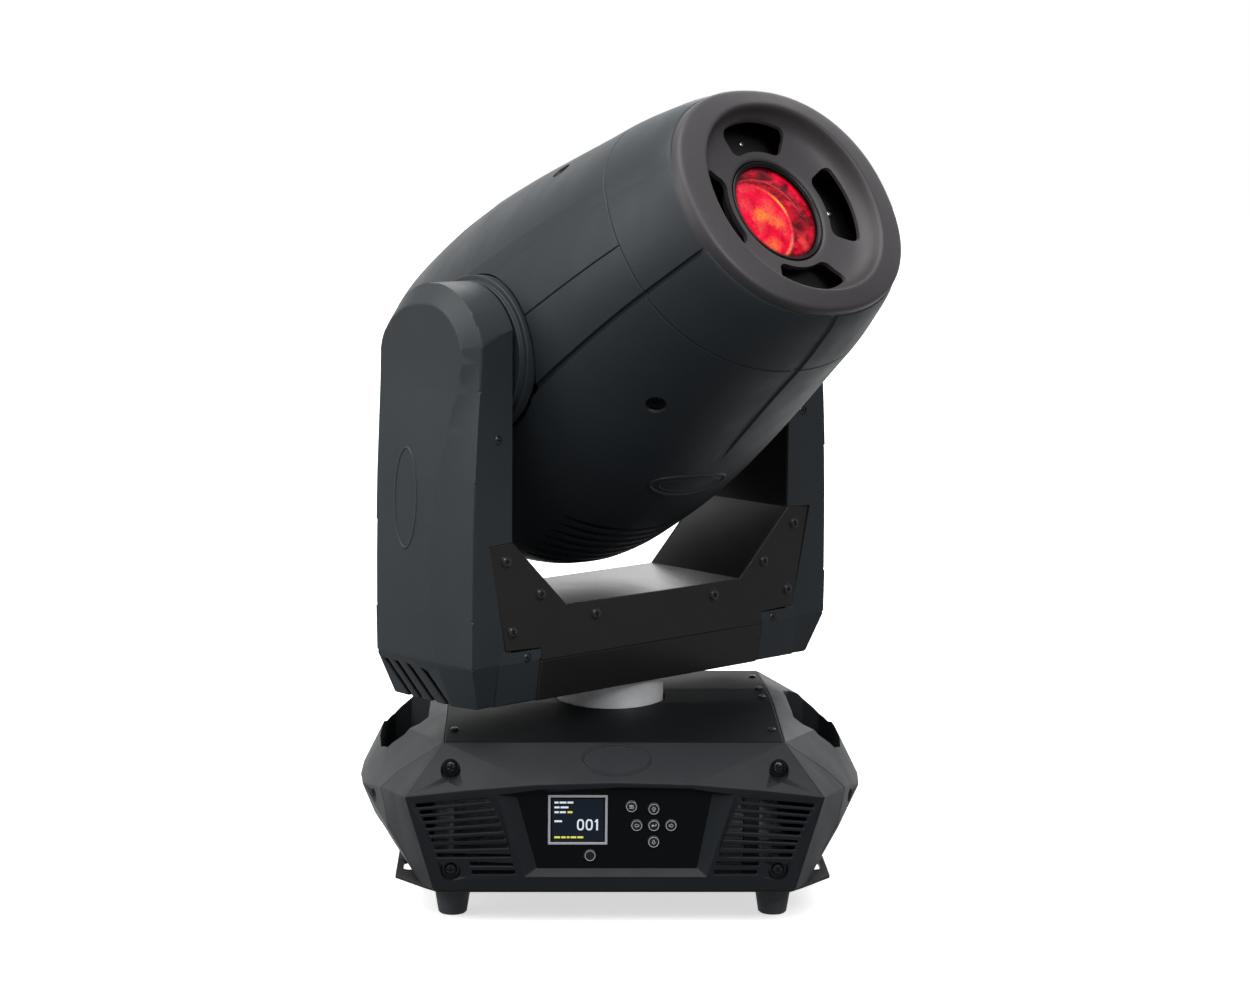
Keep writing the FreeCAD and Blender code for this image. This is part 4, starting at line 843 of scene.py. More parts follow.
SCREW_SPOTS = [(108.0, 1, 90.0), (-95.0, 1, 118.0), (108.0, -1, 90.0), (-95.0, -1, 118.0)]
head_screw_items = []
recess = {1: [], -1: []}
for zc, sm, u_ in SCREW_SPOTS:
    w_ = float(np.interp(zc, HEAD[:, 0], HEAD[:, 1]))
    h_ = float(np.interp(zc, HEAD[:, 0], HEAD[:, 2]))
    m_ = h_ * (1 - (u_ / w_) ** 2.2) ** (1 / 2.2)
    for su in (1, -1):
        d_ = Vector((su * (0.54 if zc > 0 else 0.85), sm * (0.84 if zc > 0 else 0.6), 0)).normalized()
        c_ = Vector((su * u_, sm * m_, zc)) - d_ * 10.0
        recess[sm].append((c_, d_))
        head_screw_items.append((c_, d_, 5.0, 3.2, 6.6))


def recess_parts(lst):
    out = []
    for c_, d_ in lst:
        v, f = lathe(c_ / 1000.0, d_, [(0.0079, 0.0), (0.0080, 0.0085), (0.0087, 0.0104), (0.0087, 0.034)], 48)
        out.append((v, f))
    return out


def collar_parts(lst):
    """blind tube under each recess so the screw has a seat"""
    out = []
    for c_, d_ in lst:
        v, f = lathe(c_ / 1000.0, d_, [(0.0096, -0.0022), (0.0096, 0.0060), (0.0081, 0.0060), (0.0079, 0.0), (0.0004, 0.0), (0.0004, -0.0022)], 48, ends=False)
        n = len(v)
        f += [tuple((i if i < 48 * 6 else i) for i in q) for q in
              [(5 * 48 + k, 5 * 48 + (k + 1) % 48, (k + 1) % 48, k) for k in range(48)]]
        out.append((v, f))
    return out


tr_parts = []
for su in (1, -1):
    v, f = lathe(Vector((su * 118.0, 0, 0)) / 1000.0, (su, 0, 0), [(0.0643, 0.0), (0.0643, 0.024), (0.0656, 0.0262), (0.0656, 0.05)], 96)
    tr_parts.append((v, f))
tail_parts = []
for k in range(9):
    y0, y1 = -46 + 11 * k, -41 + 11 * k
    r = 2.5
    pts = []
    for cx, a0 in ((58 - r, -90), (-58 + r, 90)):
        for q in range(9):
            a = math.radians(a0 + q * 22.5)
            pts.append((cx + r * math.cos(a), (y0 + y1) / 2 + r * math.sin(a), -200.0))
    tail_parts.append(prism([Vector(p) / 1000.0 for p in pts], (0, 0, 0), (0, 0, 0.032)))


def fin_parts():
    """louvres under the head: each a slot whose roof slopes back, curved with the skin"""
    out = []
    for k in range(7):
        L0 = -44.0 - 11.5 * k
        hw = 84.0 - 2.0 * k
        n = 24
        lo, hi = [], []
        for i in range(n + 1):
            u = -hw + 2 * hw * i / n
            e = abs(u) / hw
            w = 2.9 * (1 - e ** 8) + 0.3
            lo.append((u, L0 - w))
            hi.append((u, L0 + w))
        pts = lo + hi[::-1]
        v0 = [(u, -104.0, L + 3.0) for u, L in pts]
        v1 = [(u, -172.0, L - 2.0) for u, L in pts]
        m = len(pts)
        vs = [Vector(p) / 1000.0 for p in v0 + v1]
        fs = [tuple(range(m))[::-1], tuple(range(m, 2 * m))] + [(i, (i + 1) % m, m + (i + 1) % m, m + i) for i in range(m)]
        out.append((vs, fs))
    return out


head_top = boolean(head_top, [join_meshes("c1", tr_parts), join_meshes("c2", tail_parts), join_meshes("c3", recess_parts(recess[1]))])
head_bot = boolean(head_bot, [join_meshes("c4", tr_parts), join_meshes("c5", tail_parts), join_meshes("c6", recess_parts(recess[-1])), join_meshes("c7", fin_parts())])
for o_, nd in ((head_top, "head_top_cover"), (head_bot, "head_bottom_cover"), (nose, "nose_cover")):
    o_.data.transform(HEAD_M)
    adopt(o_, nd)
for nm, sm, nd in (("head_top_screw_wells", 1, "head_top_cover"), ("head_bottom_screw_wells", -1, "head_bottom_cover")):
    w_ = join_meshes(nm, collar_parts(recess[sm]), HEAD_M, 30)
    adopt(w_, nd, "head", replace=False)

screws("head_cover_screws", head_screw_items, HEAD_M, "head_screw_heads")

# ------------------------------------------------------------------ plain oval badges (no mark on them)


def surface(node_list):
    bm = bmesh.new()
    for n in node_list:
        src = nodes[n] if n in nodes else bpy.data.objects[n]
        bm.from_mesh(src.data)
    t = BVHTree.FromBMesh(bm)
    bm.free()
    return t


def oval(name, tree, centre, ex, ey, out, a, b, body, key, band=0.0016, high=0.0007, sink=0.0006, tilt=0.0):
    """raised oval rim laid on a surface: centre, in-plane axes, outward direction, half axes"""
    ex, ey, out = Vector(ex).normalized(), Vector(ey).normalized(), Vector(out).normalized()
    n = 96
    prof = [(-1.0, -sink), (-0.9, high * 0.35), (-0.55, high * 0.9), (0.0, high), (0.55, high * 0.9), (0.9, high * 0.35), (1.0, -sink)]
    vs, fs = [], []
    ct, st = math.cos(tilt), math.sin(tilt)
    for i in range(n):
        t = 2 * math.pi * i / n
        for q, h in prof:
            rx, ry = a + q * band, b + q * band
            x, y = rx * math.cos(t), ry * math.sin(t)
            x, y = x * ct - y * st, x * st + y * ct
            o = Vector(centre) + ex * x + ey * y
            hit, nrm, _, _ = tree.ray_cast(o + out * 0.03, -out)
            if hit is None:
                hit, nrm = o, out
            if nrm.dot(out) < 0:
                nrm = -nrm
            vs.append(hit + nrm * h)
    m = len(prof)
    for i in range(n):
        j = (i + 1) % n
        for k in range(m):
            k2 = (k + 1) % m
            fs.append((i * m + k, i * m + k2, j * m + k2, j * m + k))
    ob = mesh_obj(name, vs, fs, None, 50)
    dress(ob, key)
    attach(ob, body)
    return ob


tree = surface(["head_bottom_cover"])
cen = HEAD_M @ (Vector((-7.0, -141.0, 28.0)) / 1000.0)
oval("head_oval_outer", tree, cen, UU, NN, -MM, 0.040, 0.0135, "head", "head", 0.0022, 0.0011)
oval("head_oval_inner", tree, cen, UU, NN, -MM, 0.032, 0.0085, "head", "head", 0.0012, 0.0006)

# ------------------------------------------------------------------ front ring, lens
def ring_piece():
    prof = [(226.0, 112.3, 99.3), (229.0, 112.1, 99.2), (233.0, 111.6, 98.8), (236.5, 111.1, 98.5), (239.2, 110.3, 98.0), (240.4, 109.4, 97.2),
            (241.2, 107.9, 96.0), (241.7, 106.0, 94.6), (242.6, 101.2, 91.4), (243.6, 95.0, 87.9), (244.5, 89.4, 84.6), (244.7, 88.0, 83.6),
            (244.6, 86.8, 82.6), (243.9, 85.7, 81.6), (242.0, 84.5, 80.6), (238.6, 83.0, 79.6), (234.6, 80.4, 77.9), (231.0, 76.2, 74.6),
            (228.2, 70.4, 69.6), (226.3, 62.8, 62.6), (224.8, 55.0, 55.0), (223.9, 49.6, 49.6), (223.3, 46.8, 46.8), (222.7, 45.5, 45.5),
            (221.8, 44.8, 44.8), (220.0, 44.6, 44.6), (212.0, 44.6, 44.6), (212.0, 47.4, 47.4), (219.0, 48.0, 48.0), (221.2, 55.4, 55.4),
            (223.4, 65.0, 64.9), (227.4, 74.2, 73.4), (232.4, 79.8, 77.6), (238.4, 83.0, 79.8), (240.4, 88.6, 83.6), (238.8, 102.0, 91.4),
            (236.6, 106.8, 94.4), (232.0, 108.0, 95.6), (226.0, 108.8, 96.0)]
    seg = 192
    vs, fs = [], []
    for L, rx, ry in prof:
        p = 2.0 + 0.2 * min(1.0, max(0.0, (max(rx, ry) - 70.0) / 25.0))
        for k in range(seg):
            a = 2 * math.pi * k / seg
            c, q = math.cos(a), math.sin(a)
            vs.append(Vector((math.copysign(abs(c) ** (2 / p), c) * rx, math.copysign(abs(q) ** (2 / p), q) * ry, L)) / 1000.0)
    n = len(prof)
    for i in range(n):
        j = (i + 1) % n
        for k in range(seg):
            k2 = (k + 1) % seg
            fs.append((i * seg + k, i * seg + k2, j * seg + k2, j * seg + k))
    o = mesh_obj("front_ring_form", vs, fs, None, 30)
    slots = []
    for q in range(4):
        a0 = math.pi / 2 * q
        mid_r, half_r, half_a, rc = 62.9, 12.2, 28.5, 6.8
        pts = []
        for sr, sa, st in ((1, 1, 0), (-1, 1, 1), (-1, -1, 2), (1, -1, 3)):
            r_c = mid_r + sr * (half_r - rc)
            ac = math.radians(half_a) - rc / (mid_r + sr * half_r)
            for t in range(9):
                b = math.pi / 2 * t / 8
                dx, dy = [(math.sin(b), math.cos(b)), (-math.cos(b), math.sin(b)), (-math.sin(b), -math.cos(b)), (math.cos(b), -math.sin(b))][st]
                if st == 0:
                    dx, dy = math.cos(b), math.sin(b)
                elif st == 1:
                    dx, dy = -math.sin(b), math.cos(b)
                elif st == 2:
                    dx, dy = -math.cos(b), -math.sin(b)
                else:
                    dx, dy = math.sin(b), -math.cos(b)
                pts.append((r_c + dx * rc, sa * ac * (mid_r + sr * half_r) + dy * rc, sr))
        out = []
        m = len(pts)
        dense = []
        for i in range(m):
            a, b = pts[i], pts[(i + 1) % m]
            steps = 10 if abs(a[1] - b[1]) > 20 else 1
            for t in range(steps):
                f = t / steps
                dense.append((a[0] + (b[0] - a[0]) * f, a[1] / (mid_r + a[2] * half_r) * (1 - f) + b[1] / (mid_r + b[2] * half_r) * f))
        rows = []
        for L, g in ((206.0, -1.6), (223.0, -0.9), (229.0, -0.2), (234.0, 1.0), (252.0, 4.0)):
            row = []
            for r, a in dense:
                rr = r + g * (1 if r > mid_r else -1) * min(1.0, abs(r - mid_r) / 9.0)
                aa = a * (1 + g * 0.028)
                row.append(Vector((rr * math.cos(a0 + aa), rr * math.sin(a0 + aa), L)) / 1000.0)
            rows.append(row)
        m = len(dense)
        v2 = [v for row in rows for v in row]
        f2 = [tuple(range(m))[::-1], tuple(range((len(rows) - 1) * m, len(rows) * m))]
        for i in range(len(rows) - 1):
            for k in range(m):
                k2 = (k + 1) % m
                f2.append((i * m + k, i * m + k2, (i + 1) * m + k2, (i + 1) * m + k))
        slots.append((v2, f2))
    o = boolean(o, [join_meshes("ring_slots", slots)])
    bm = bmesh.new()
    bm.from_mesh(o.data)
    es = []
    for e in bm.edges:
        if len(e.link_faces) == 2 and e.calc_face_angle(0.0) > math.radians(50):
            r = ((e.verts[0].co + e.verts[1].co) / 2).to_2d().length
            if 0.050 < r < 0.086 and (e.verts[0].co.z + e.verts[1].co.z) / 2 > 0.2215:
                es.append(e)
    bm.free()
    o.data.transform(HEAD_M)
    smooth(o.data, 30)
    return adopt(o, "front_ring")


ring_piece()
# baffle seen through the slots, with its small bright screws
prof = [(0.0472, 0.2040), (0.0472, 0.2075), (0.0600, 0.2082), (0.0900, 0.2060), (0.0960, 0.2020), (0.0960, 0.1995), (0.0600, 0.2040), (0.0472, 0.2040)]
v_, f_ = lathe((0, 0, 0), (0, 0, 1), prof, 96, ends=False)
ob = mesh_obj("nose_baffle", v_, f_, HEAD_M, 30)
dress(ob, "inner")
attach(ob, "head")
parts = []
for ang, rad in ((84.5, 0.0685), (2.4, 0.0722), (182.4, 0.0722), (264.5, 0.0685)):
    a = math.radians(ang)
    parts.append(screw_part((rad * math.cos(a), rad * math.sin(a), 0.2079), (0, 0, 1), 0.0025, 0.0014, ang))
ob = join_meshes("nose_baffle_screws", parts, HEAD_M, 28)
dress(ob, "steel")
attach(ob, "head")
# inner lip that closes the parting line between the upper and lower head covers
lips = []
for th0 in (0.0, 180.0):
    for lo, hi in ((-177.0, -70.0), (70.0, 173.0)):
        rows_ = L_rows(lo, hi, 6.0)
        v2, f2 = [], []
        for L in rows_:
            for dth, w in ((2.5, 2.5), (-2.5, 2.5), (-2.5, 3.4), (2.5, 3.4)):
                v2.append(Vector(skin(L, th0 + dth, w, 1.0)) / 1000.0)
        for i in range(len(rows_) - 1):
            for k in range(4):
                k2 = (k + 1) % 4
                f2.append((i * 4 + k, i * 4 + k2, i * 4 + 4 + k2, i * 4 + 4 + k))
        f2.append((3, 2, 1, 0))
        f2.append(tuple(range(len(v2) - 4, len(v2))))
        lips.append((v2, f2))
ob = join_meshes("head_seam_lip", lips, HEAD_M, 30)
dress(ob, "inner")
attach(ob, "head")
refine("trunnions", 0.0008)
refine("lens_barrel", 0.0005, 40.0)


def lens_piece():
    R, sag = 0.0402, 0.0040
    rings, seg = 22, 96
    vs, fs, uv = [], [], []
    L0 = 0.2225
    for i in range(rings):
        r = R * (0.002 + 0.988 * i / (rings - 1))
        ball = (R * R + sag * sag) / (2 * sag)
        z = L0 - (ball - math.sqrt(ball * ball - r * r))
        for k in range(seg):
            a = 2 * math.pi * k / seg
            vs.append(Vector((r * math.cos(a), r * math.sin(a), z)))
    for rr, z in ((R, L0 - sag - 0.0006), (R, L0 - sag - 0.0055), (R * 0.97, L0 - sag - 0.0059), (R * 0.5, L0 - sag - 0.0059), (R * 0.004, L0 - sag - 0.0059)):
        for k in range(seg):
            a = 2 * math.pi * k / seg
            vs.append(Vector((rr * math.cos(a), rr * math.sin(a), z)))
    n = rings + 5
    for i in range(n - 1):
        for k in range(seg):
            k2 = (k + 1) % seg
            fs.append((i * seg + k, (i + 1) * seg + k, (i + 1) * seg + k2, i * seg + k2))
    fs.append(tuple(range(seg)))
    fs.append(tuple(range((n - 1) * seg, n * seg))[::-1])
    me = bpy.data.meshes.new("lens_glass_piece")
    me.from_pydata([tuple(v) for v in vs], [], fs)
    lay = me.uv_layers.new(name="UVMap")
    for lp in me.loops:
        v = vs[lp.vertex_index]
        lay.data[lp.index].uv = (v.x / R, v.y / R)
    bm = bmesh.new()
    bm.from_mesh(me)
    bmesh.ops.recalc_face_normals(bm, faces=bm.faces[:])
    bm.to_mesh(me)
    bm.free()
    me.transform(HEAD_M)
    smooth(me, 40)
    o = link("lens_glass_piece", me)
    return adopt(o, "front_lens")


lens_piece()
# retaining ring round the lens
v_, f_ = lathe((0, 0, 0), (0, 0, 1), [(0.0403, 0.2186), (0.0440, 0.2186), (0.0441, 0.2212), (0.0439, 0.2221), (0.0432, 0.2226), (0.0422, 0.2224), (0.0412, 0.2214), (0.0404, 0.2202), (0.0403, 0.2186)], 96, ends=False)
rr_ = mesh_obj("lens_retaining_ring", v_, f_, HEAD_M, 40)
dress(rr_, "barrel")
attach(rr_, "head")

# ------------------------------------------------------------------ arm covers, plates, base
for nd, w_ in (("left_arm_cover", 0.0014), ("right_arm_cover", 0.0014)):
    refine(nd, w_, 14.0, 3, 13.0, flat=False)
for nd, w_ in (("yoke_front_plate", 0.0005), ("yoke_rear_plate", 0.0005), ("yoke_bottom_pan", 0.0012), ("yoke_cradle", 0.0005)):
    refine(nd, w_, 22.0, 2, 30.0)
for nd, w_ in (("base_front_cover", 0.0009), ("base_rear_cover", 0.0009), ("left_handle_cover", 0.0012), ("right_handle_cover", 0.0012), ("top_cover", 0.0012)):
    refine(nd, w_, 16.0, 2, 15.0, flat=nd == "top_cover", room=nd != "top_cover")
for nd, w_ in (("base_plate", 0.0004), ("rubber_feet", 0.0010), ("control_panel", 0.0003), ("display_bezel", 0.0003),
               ("rear_connector_plate", 0.0003), ("mains_inlet", 0.0004), ("data_connectors", 0.0004), ("pan_shaft", 0.0006)):
    refine(nd, w_, 30.0, 2, 30.0)

items = []
for sx in (1, -1):
    for x, z in ((163.1, 288.3), (126.9, 258.8), (67.3, 236.1), (156.6, 231.3)):
        items.append(((sx * x, -55.0, z), (0, -1, 0), 4.4, 2.2, 5.3))
        items.append(((sx * x, 55.0, z), (0, 1, 0), 4.4, 2.2, 5.3))
screws("yoke_plate_screws", items, YOKE_M, "yoke_plate_screw_heads")
items = []
for x, z in ((140.0, 208.7), (171.7, 385.3)):
    yv = 54.7 if z < 300 else 54.0 + (x - 156.2) / (197 - 156.2) * 4.0
    for sx in (1, -1):
        for sy in (1, -1):
            items.append(((sx * x, sy * (yv - 1.6), z), (0, sy, 0), 3.6, 2.0, 0))
screws("arm_cover_screws", items, YOKE_M, "arm_screw_heads")
items = []
for sx in (1, -1):
    for x, z, y in ((129.8, 124.2, 151.0), (129.5, 46.0, 168.0)):
        for sy in (1, -1):
            items.append(((sx * x, sy * y, z), (0, sy, 0), 5.2, 3.4, 7.0))
    for sy in (1, -1):
        items.append(((sx * 188.0, sy * 96.0, 88.0), (sx, 0, 0), 4.2, 2.8, 5.2))
screws("base_cover_screws", items, BASE_M, "base_cover_screw_heads")

# ------------------------------------------------------------------ keys and display
KEYS = {"menu_key": (12.9, 97.2), "up_key": (30.6, 95.2), "left_key": (17.2, 81.9), "enter_key": (30.7, 81.9),
        "right_key": (44.3, 81.9), "down_key": (30.7, 68.5), "display_switch": (-19.5, 57.5)}
FACE_Y = -0.1712


def flat(pts, y, t=0.00006):
    """thin raised print on the panel's plane from an outline of (x, z) in mm"""
    p = [Vector((x / 1000.0, y, z / 1000.0)) for x, z in pts]
    return prism(p, (0, 0, 0), (0, -t, 0))


def ring_print(cx, cz, r0, r1, y, seg=40, t=0.00006):
    vs, fs = [], []
    for r, yy in ((r0, y), (r1, y), (r1, y - t), (r0, y - t)):
        for k in range(seg):
            a = 2 * math.pi * k / seg
            vs.append(Vector(((cx + r * math.cos(a)) / 1000.0, yy, (cz + r * math.sin(a)) / 1000.0)))
    for i in range(4):
        for k in range(seg):
            k2 = (k + 1) % seg
            j = (i + 1) % 4
            fs.append((i * seg + k, i * seg + k2, j * seg + k2, j * seg + k))
    return vs, fs


def arrow(cx, cz, ang, s=1.0):
    base = [(3.0, 0), (0.3, 2.5), (0.3, 1.0), (-2.8, 1.0), (-2.8, -1.0), (0.3, -1.0), (0.3, -2.5)]
    ca, sa = math.cos(ang), math.sin(ang)
    return [(cx + s * (x * ca - z * sa), cz + s * (x * sa + z * ca)) for x, z in base]


def outline_arrow(cx, cz, ang, y, s=1.0, w=0.34):
    """arrow drawn as a line: strips along its edges"""
    p = arrow(cx, cz, ang, s)
    out = []
    for i in range(len(p)):
        a, b = Vector(p[i]).to_2d(), Vector(p[(i + 1) % len(p)]).to_2d()
        d = (b - a).normalized()
        n = Vector((-d.y, d.x)) * w / 2
        a2, b2 = a - d * w / 2, b + d * w / 2
        out.append(flat([tuple(a2 + n), tuple(b2 + n), tuple(b2 - n), tuple(a2 - n)], y))
    return out


for kname, (kx, kz) in KEYS.items():
    prof = [(0.0001, 0.0022), (0.0001, -0.0007), (0.0030, -0.00069), (0.0042, -0.00062), (0.0048, -0.00045), (0.0051, -0.00022), (0.0052, 0.0001), (0.0052, 0.0022)]
    v_, f_ = lathe((kx / 1000.0, -0.1705, kz / 1000.0), (0, 1, 0), prof[::-1], 56)
    cap = mesh_obj(kname + "_cap_form", v_, f_, None, 35)
    adopt(cap, kname)
    y = FACE_Y - 0.000005
    pr = [ring_print(kx, kz, 3.75, 4.1, y)]
    if kname == "up_key":
        pr += outline_arrow(kx, kz, math.pi / 2, y, 0.62)
    elif kname == "down_key":
        pr += outline_arrow(kx, kz, -math.pi / 2, y, 0.62)
    elif kname == "left_key":
        pr += outline_arrow(kx, kz, math.pi, y, 0.62)
    elif kname == "right_key":
        pr += outline_arrow(kx, kz, 0, y, 0.62)
    elif kname == "enter_key":
        pr += [flat([(kx + 1.5, kz + 1.5), (kx + 1.9, kz + 1.5), (kx + 1.9, kz - 0.3), (kx + 1.5, kz - 0.3)], y),
               flat([(kx - 0.6, kz + 0.1), (kx + 1.9, kz + 0.1), (kx + 1.9, kz - 0.3), (kx - 0.6, kz - 0.3)], y),
               flat([(kx - 2.1, kz - 0.1), (kx - 0.5, kz + 0.9), (kx - 0.5, kz - 1.1)], y)]
    elif kname == "menu_key":
        pr += [flat([(kx - 1.8, kz + q + 0.22), (kx + 1.8, kz + q + 0.22), (kx + 1.8, kz + q - 0.22), (kx - 1.8, kz + q - 0.22)], y) for q in (1.1, 0.0, -1.1)]
    ob = join_meshes(kname + "_print", pr, None, 30)
    dress(ob, "print")
    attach(ob, kname + "_cap")

# display: generic bars for the lines of text, three plain figures
BX0, BX1, BZ0, BZ1 = -52.8, -5.9, 66.5, 106.5
SY = -0.1703
white, yellow = [], []


def bar(lst, x0, x1, z0, z1):
    lst.append(flat([(x0, z0), (x1, z0), (x1, z1), (x0, z1)], SY, 0.00005))


sx0, sz1 = BX0 + 5.0, BZ1 - 5.4
for row, words in enumerate([(3.2, 5.4, 4.6), (4.0, 6.2), (3.4, 4.8)]):
    x = sx0
    z = sz1 - 3.9 * row
    for w in words:
        bar(white, x, x + w, z - 1.5, z)
        x += w + 0.8
    if row == 2:
        bar(yellow, x + 0.6, x + 4.4, z - 1.5, z)
bar(white, sx0, sx0 + 6.0, sz1 - 4 * 3.9 - 1.0, sz1 - 4 * 3.9 + 0.5)
x = sx0
for w in (4.6, 3.4, 2.2, 4.4, 4.6):
    bar(yellow, x, x + w, BZ0 + 5.0, BZ0 + 6.5)
    x += w + 0.9


def seg_ring(cx, cz, w, h, t):
    """outline of a rounded zero"""
    out = []
    n = 28
    po, pi_ = [], []
    for k in range(n):
        a = 2 * math.pi * k / n
        c, s = math.cos(a), math.sin(a)
        f = lambda q: math.copysign(abs(q) ** 0.72, q)
        po.append((cx + w / 2 * f(c), cz + h / 2 * f(s)))
        pi_.append((cx + (w / 2 - t) * f(c), cz + (h / 2 - t) * f(s)))
    for k in range(n):
        j = (k + 1) % n
        out.append(flat([po[k], po[j], pi_[j], pi_[k]], SY, 0.00005))
    return out


gx, gz, gw, gh = -27.2, 82.4, 5.6, 9.0
white += seg_ring(gx, gz, gw, gh, 1.25)
white += seg_ring(gx + 6.9, gz, gw, gh, 1.25)
white.append(flat([(gx + 12.4, gz - gh / 2), (gx + 13.8, gz - gh / 2), (gx + 13.8, gz + gh / 2), (gx + 12.7, gz + gh / 2), (gx + 11.0, gz + gh / 2 - 1.9), (gx + 11.6, gz + gh / 2 - 2.6), (gx + 12.4, gz + gh / 2 - 1.9)], SY, 0.00005))
for nm, lst, key in (("display_white_pixels", white, "white_px"), ("display_yellow_pixels", yellow, "yellow_px")):
    ob = join_meshes(nm, lst, None, 30)
    dress(ob, key)
    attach(ob, "base")

# ------------------------------------------------------------------ ovals on the base and the arms
tree = surface(["base_front_cover"])
oval("base_oval", tree, (0.001, -0.1557, 0.1299), (1, 0, 0), (0, 0.65, 0.76), (0, -0.76, 0.65), 0.0268, 0.0150, "base", "base", 0.0012, 0.0005)
tree = surface(["left_arm_cover", "right_arm_cover"])
for su, nm in ((-1, "left_arm_oval"), (1, "right_arm_oval")):
    nd = "left_arm_cover" if su < 0 else "right_arm_cover"
    cen = YOKE_M @ (Vector((su * 205.0, 21.0, 335.0)) / 1000.0)
    oval(nm, tree, cen, -VV * (-1), ZZ, UU * su, 0.0135, 0.040, "yoke", "shell", 0.0012, 0.0005)

# ------------------------------------------------------------------ connector contacts
pins = []
for x in (-52, -20, 12, 44):
    n = 3 if x < 0 else 5
    for k in range(n):
        a = math.pi / 2 + 2 * math.pi * k / n * (0.8 if n == 5 else 1.0) + (0.3 if n == 5 else 0)
        c = Vector((x + 4.6 * math.cos(a), 158.0, 90 + 4.6 * math.sin(a))) / 1000.0
        pins.append(lathe(c, (0, 1, 0), [(0.0011, -0.0005), (0.0011, 0.0095), (0.0007, 0.0105), (0.0001, 0.0108)], 20))
ob = join_meshes("data_contact_pins", pins, None, 40)
dress(ob, "pin")
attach(ob, "base")

# ------------------------------------------------------------------ floor, light, camera
fl_m, nt, b_ = new_mat("studio_floor")
tc = nt.nodes.new("ShaderNodeTexCoord")
nt.links.new(ramp(nt, noise(nt, tc.outputs["Object"], 2.0, 2.0), [(0.3, (0.90, 0.90, 0.90, 1)), (0.7, (0.92, 0.92, 0.92, 1))]), b_.inputs["Base Color"])
b_.inputs["Roughness"].default_value = 0.55
b_.inputs["Specular IOR Level"].default_value = 0.25
b_.inputs["Emission Color"].default_value = (1.0, 1.0, 1.0, 1.0)
b_.inputs["Emission Strength"].default_value = 0.62
n_r, n_s = 40, 96
vs, fs = [(0, 0, 0)], []
for i in range(1, n_r + 1):
    r = 14.0 * (i / n_r) ** 2
    for k in range(n_s):
        a = 2 * math.pi * k / n_s
        vs.append((r * math.cos(a), r * math.sin(a), 0.0))
for k in range(n_s):
    fs.append((0, 1 + k, 1 + (k + 1) % n_s))
for i in range(n_r - 1):
    for k in range(n_s):
        a, b2 = 1 + i * n_s + k, 1 + i * n_s + (k + 1) % n_s
        fs.append((a, a + n_s, b2 + n_s, b2))
me = bpy.data.meshes.new("studio_floor")
me.from_pydata(vs, [], fs)
floor = link("studio_floor", me)
me.materials.append(fl_m)
floor.location = (0, 0, -0.0002)
# the floor takes shadows and is seen by the lens; the tent below it gives the fill from underneath
floor.visible_diffuse = False
floor.visible_glossy = False

world = bpy.data.worlds.new("studio")
bpy.context.scene.world = world
world.use_nodes = True
wt = world.node_tree
for n in list(wt.nodes):
    wt.nodes.remove(n)
wo = wt.nodes.new("ShaderNodeOutputWorld")
bg = wt.nodes.new("ShaderNodeBackground")
wt.links.new(bg.outputs[0], wo.inputs[0])
# white behind the object for the lens; a soft tent, brighter above and to the left, for everything else
lp = wt.nodes.new("ShaderNodeLightPath")
tcw = wt.nodes.new("ShaderNodeTexCoord")
sepw = wt.nodes.new("ShaderNodeSeparateXYZ")
wt.links.new(tcw.outputs["Generated"], sepw.inputs[0])
mixw = wt.nodes.new("ShaderNodeMath")
mixw.operation = "MULTIPLY_ADD"
mixw.inputs[1].default_value = -0.25
wt.links.new(sepw.outputs["X"], mixw.inputs[0])
wt.links.new(sepw.outputs["Z"], mixw.inputs[2])
tent = ramp(wt, span_w(wt, mixw.outputs[0]), [(0.0, (0.16, 0.165, 0.17, 1)), (0.42, (0.20, 0.205, 0.21, 1)), (0.58, (0.26, 0.265, 0.27, 1)), (1.0, (0.55, 0.55, 0.555, 1))])
wall = ramp(wt, span_w(wt, sepw.outputs["Y"]), [(0.0, (0, 0, 0, 1)), (0.70, (0, 0, 0, 1)), (0.90, (0.9, 0.9, 0.9, 1)), (1.0, (0.9, 0.9, 0.9, 1))])
both = wt.nodes.new("ShaderNodeMix")
both.data_type = "RGBA"
both.blend_type = "ADD"
both.inputs["Factor"].default_value = 1.0
wt.links.new(tent, both.inputs["A"])
wt.links.new(wall, both.inputs["B"])
tent = both.outputs["Result"]
pick = wt.nodes.new("ShaderNodeMix")
pick.data_type = "RGBA"
wt.links.new(lp.outputs["Is Camera Ray"], pick.inputs["Factor"])
wt.links.new(tent, pick.inputs["A"])
pick.inputs["B"].default_value = (1.0, 1.0, 1.0, 1)
wt.links.new(pick.outputs["Result"], bg.inputs["Color"])
bg.inputs["Strength"].default_value = 1.0


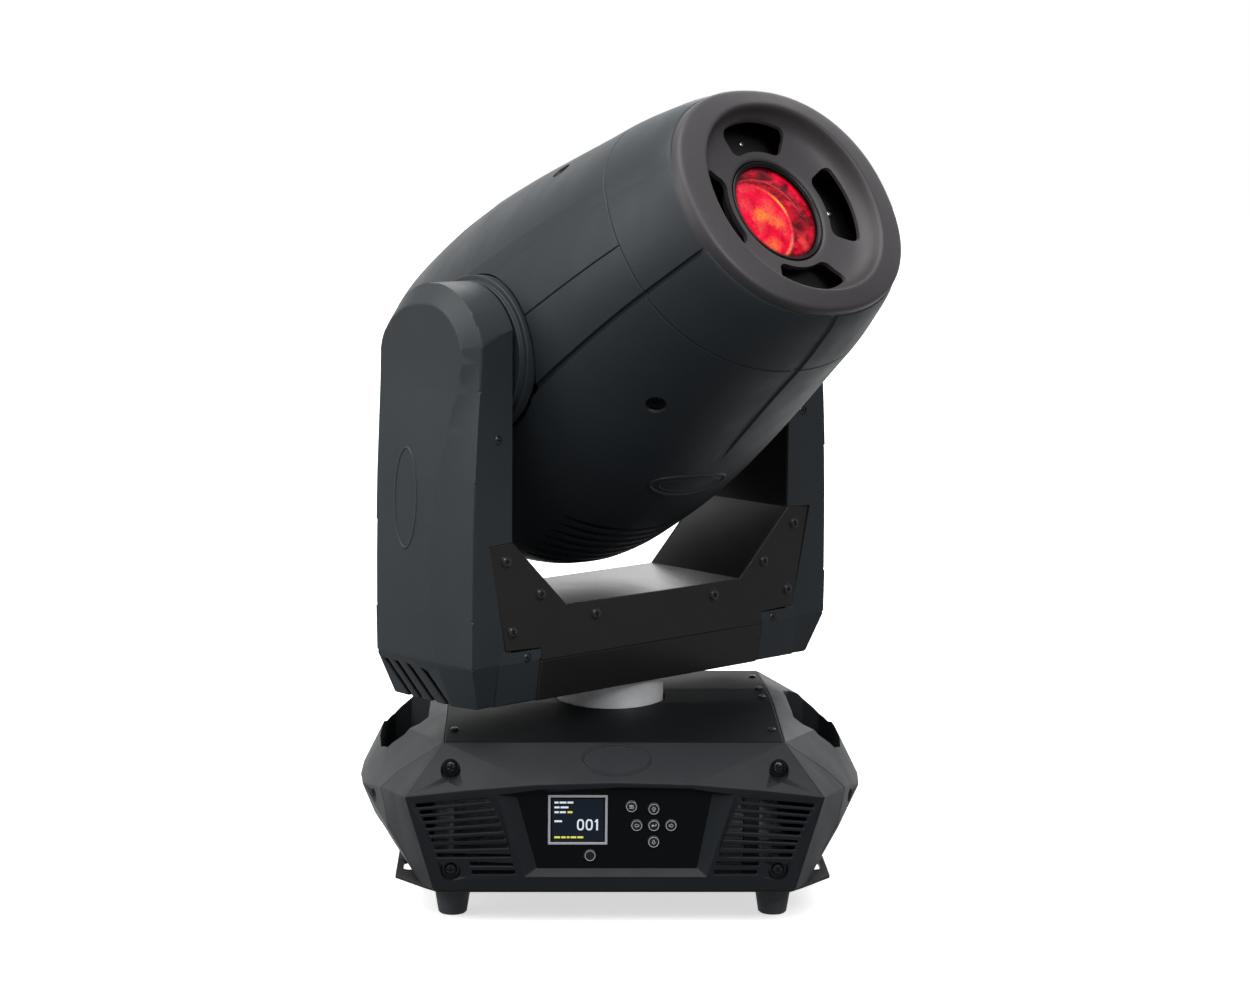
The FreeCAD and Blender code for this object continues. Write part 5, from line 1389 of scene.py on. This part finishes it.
def area(name, loc, target, size, power, col=(1, 1, 1), size_y=None):
    l = bpy.data.lights.new(name, "AREA")
    l.energy = power
    l.color = col
    l.shape = "RECTANGLE"
    l.size = size
    l.size_y = size_y or size
    o = bpy.data.objects.new(name, l)
    bpy.context.scene.collection.objects.link(o)
    o.location = loc
    d = Vector(target) - Vector(loc)
    o.rotation_euler = d.to_track_quat("-Z", "Y").to_euler()
    return o


def sun(name, frm, strength, angle, col=(1, 1, 1)):
    l = bpy.data.lights.new(name, "SUN")
    l.energy = strength
    l.angle = math.radians(angle)
    l.color = col
    o = bpy.data.objects.new(name, l)
    bpy.context.scene.collection.objects.link(o)
    o.rotation_euler = (-Vector(frm)).to_track_quat("-Z", "Y").to_euler()
    return o


sun("overhead", (-0.25, -0.30, 1.0), 2.9, 70)
area("key_left", (-2.3, -0.7, 1.2), (0, 0, 0.40), 1.3, 20, (1.0, 0.995, 0.985))
area("front_right", (1.5, -1.9, 1.9), (0, 0, 0.50), 1.0, 22, (1.0, 0.99, 0.995))
area("rim_back", (0.6, 1.9, 1.5), (0, 0, 0.40), 1.4, 14)

YAW, PITCH, ROLL = math.radians(1.8924), math.radians(-8.0583), math.radians(0.4940)
fwd = Vector((math.sin(YAW) * math.cos(PITCH), math.cos(YAW) * math.cos(PITCH), math.sin(PITCH)))
rgt = fwd.cross(Vector((0, 0, 1))).normalized()
upv = rgt.cross(fwd)
R2 = rgt * math.cos(ROLL) + upv * math.sin(ROLL)
U2 = -rgt * math.sin(ROLL) + upv * math.cos(ROLL)
cam = bpy.data.cameras.new("camera")
co = bpy.data.objects.new("camera", cam)
bpy.context.scene.collection.objects.link(co)
co.matrix_world = Matrix(((R2.x, U2.x, -fwd.x, -0.0682), (R2.y, U2.y, -fwd.y, -2.4074), (R2.z, U2.z, -fwd.z, 0.6582), (0, 0, 0, 1)))
cam.sensor_width = 36.0
cam.lens = 83.81
cam.clip_start = 0.05
cam.clip_end = 60.0
bpy.context.scene.camera = co

bpy.context.scene.view_settings.view_transform = "Standard"
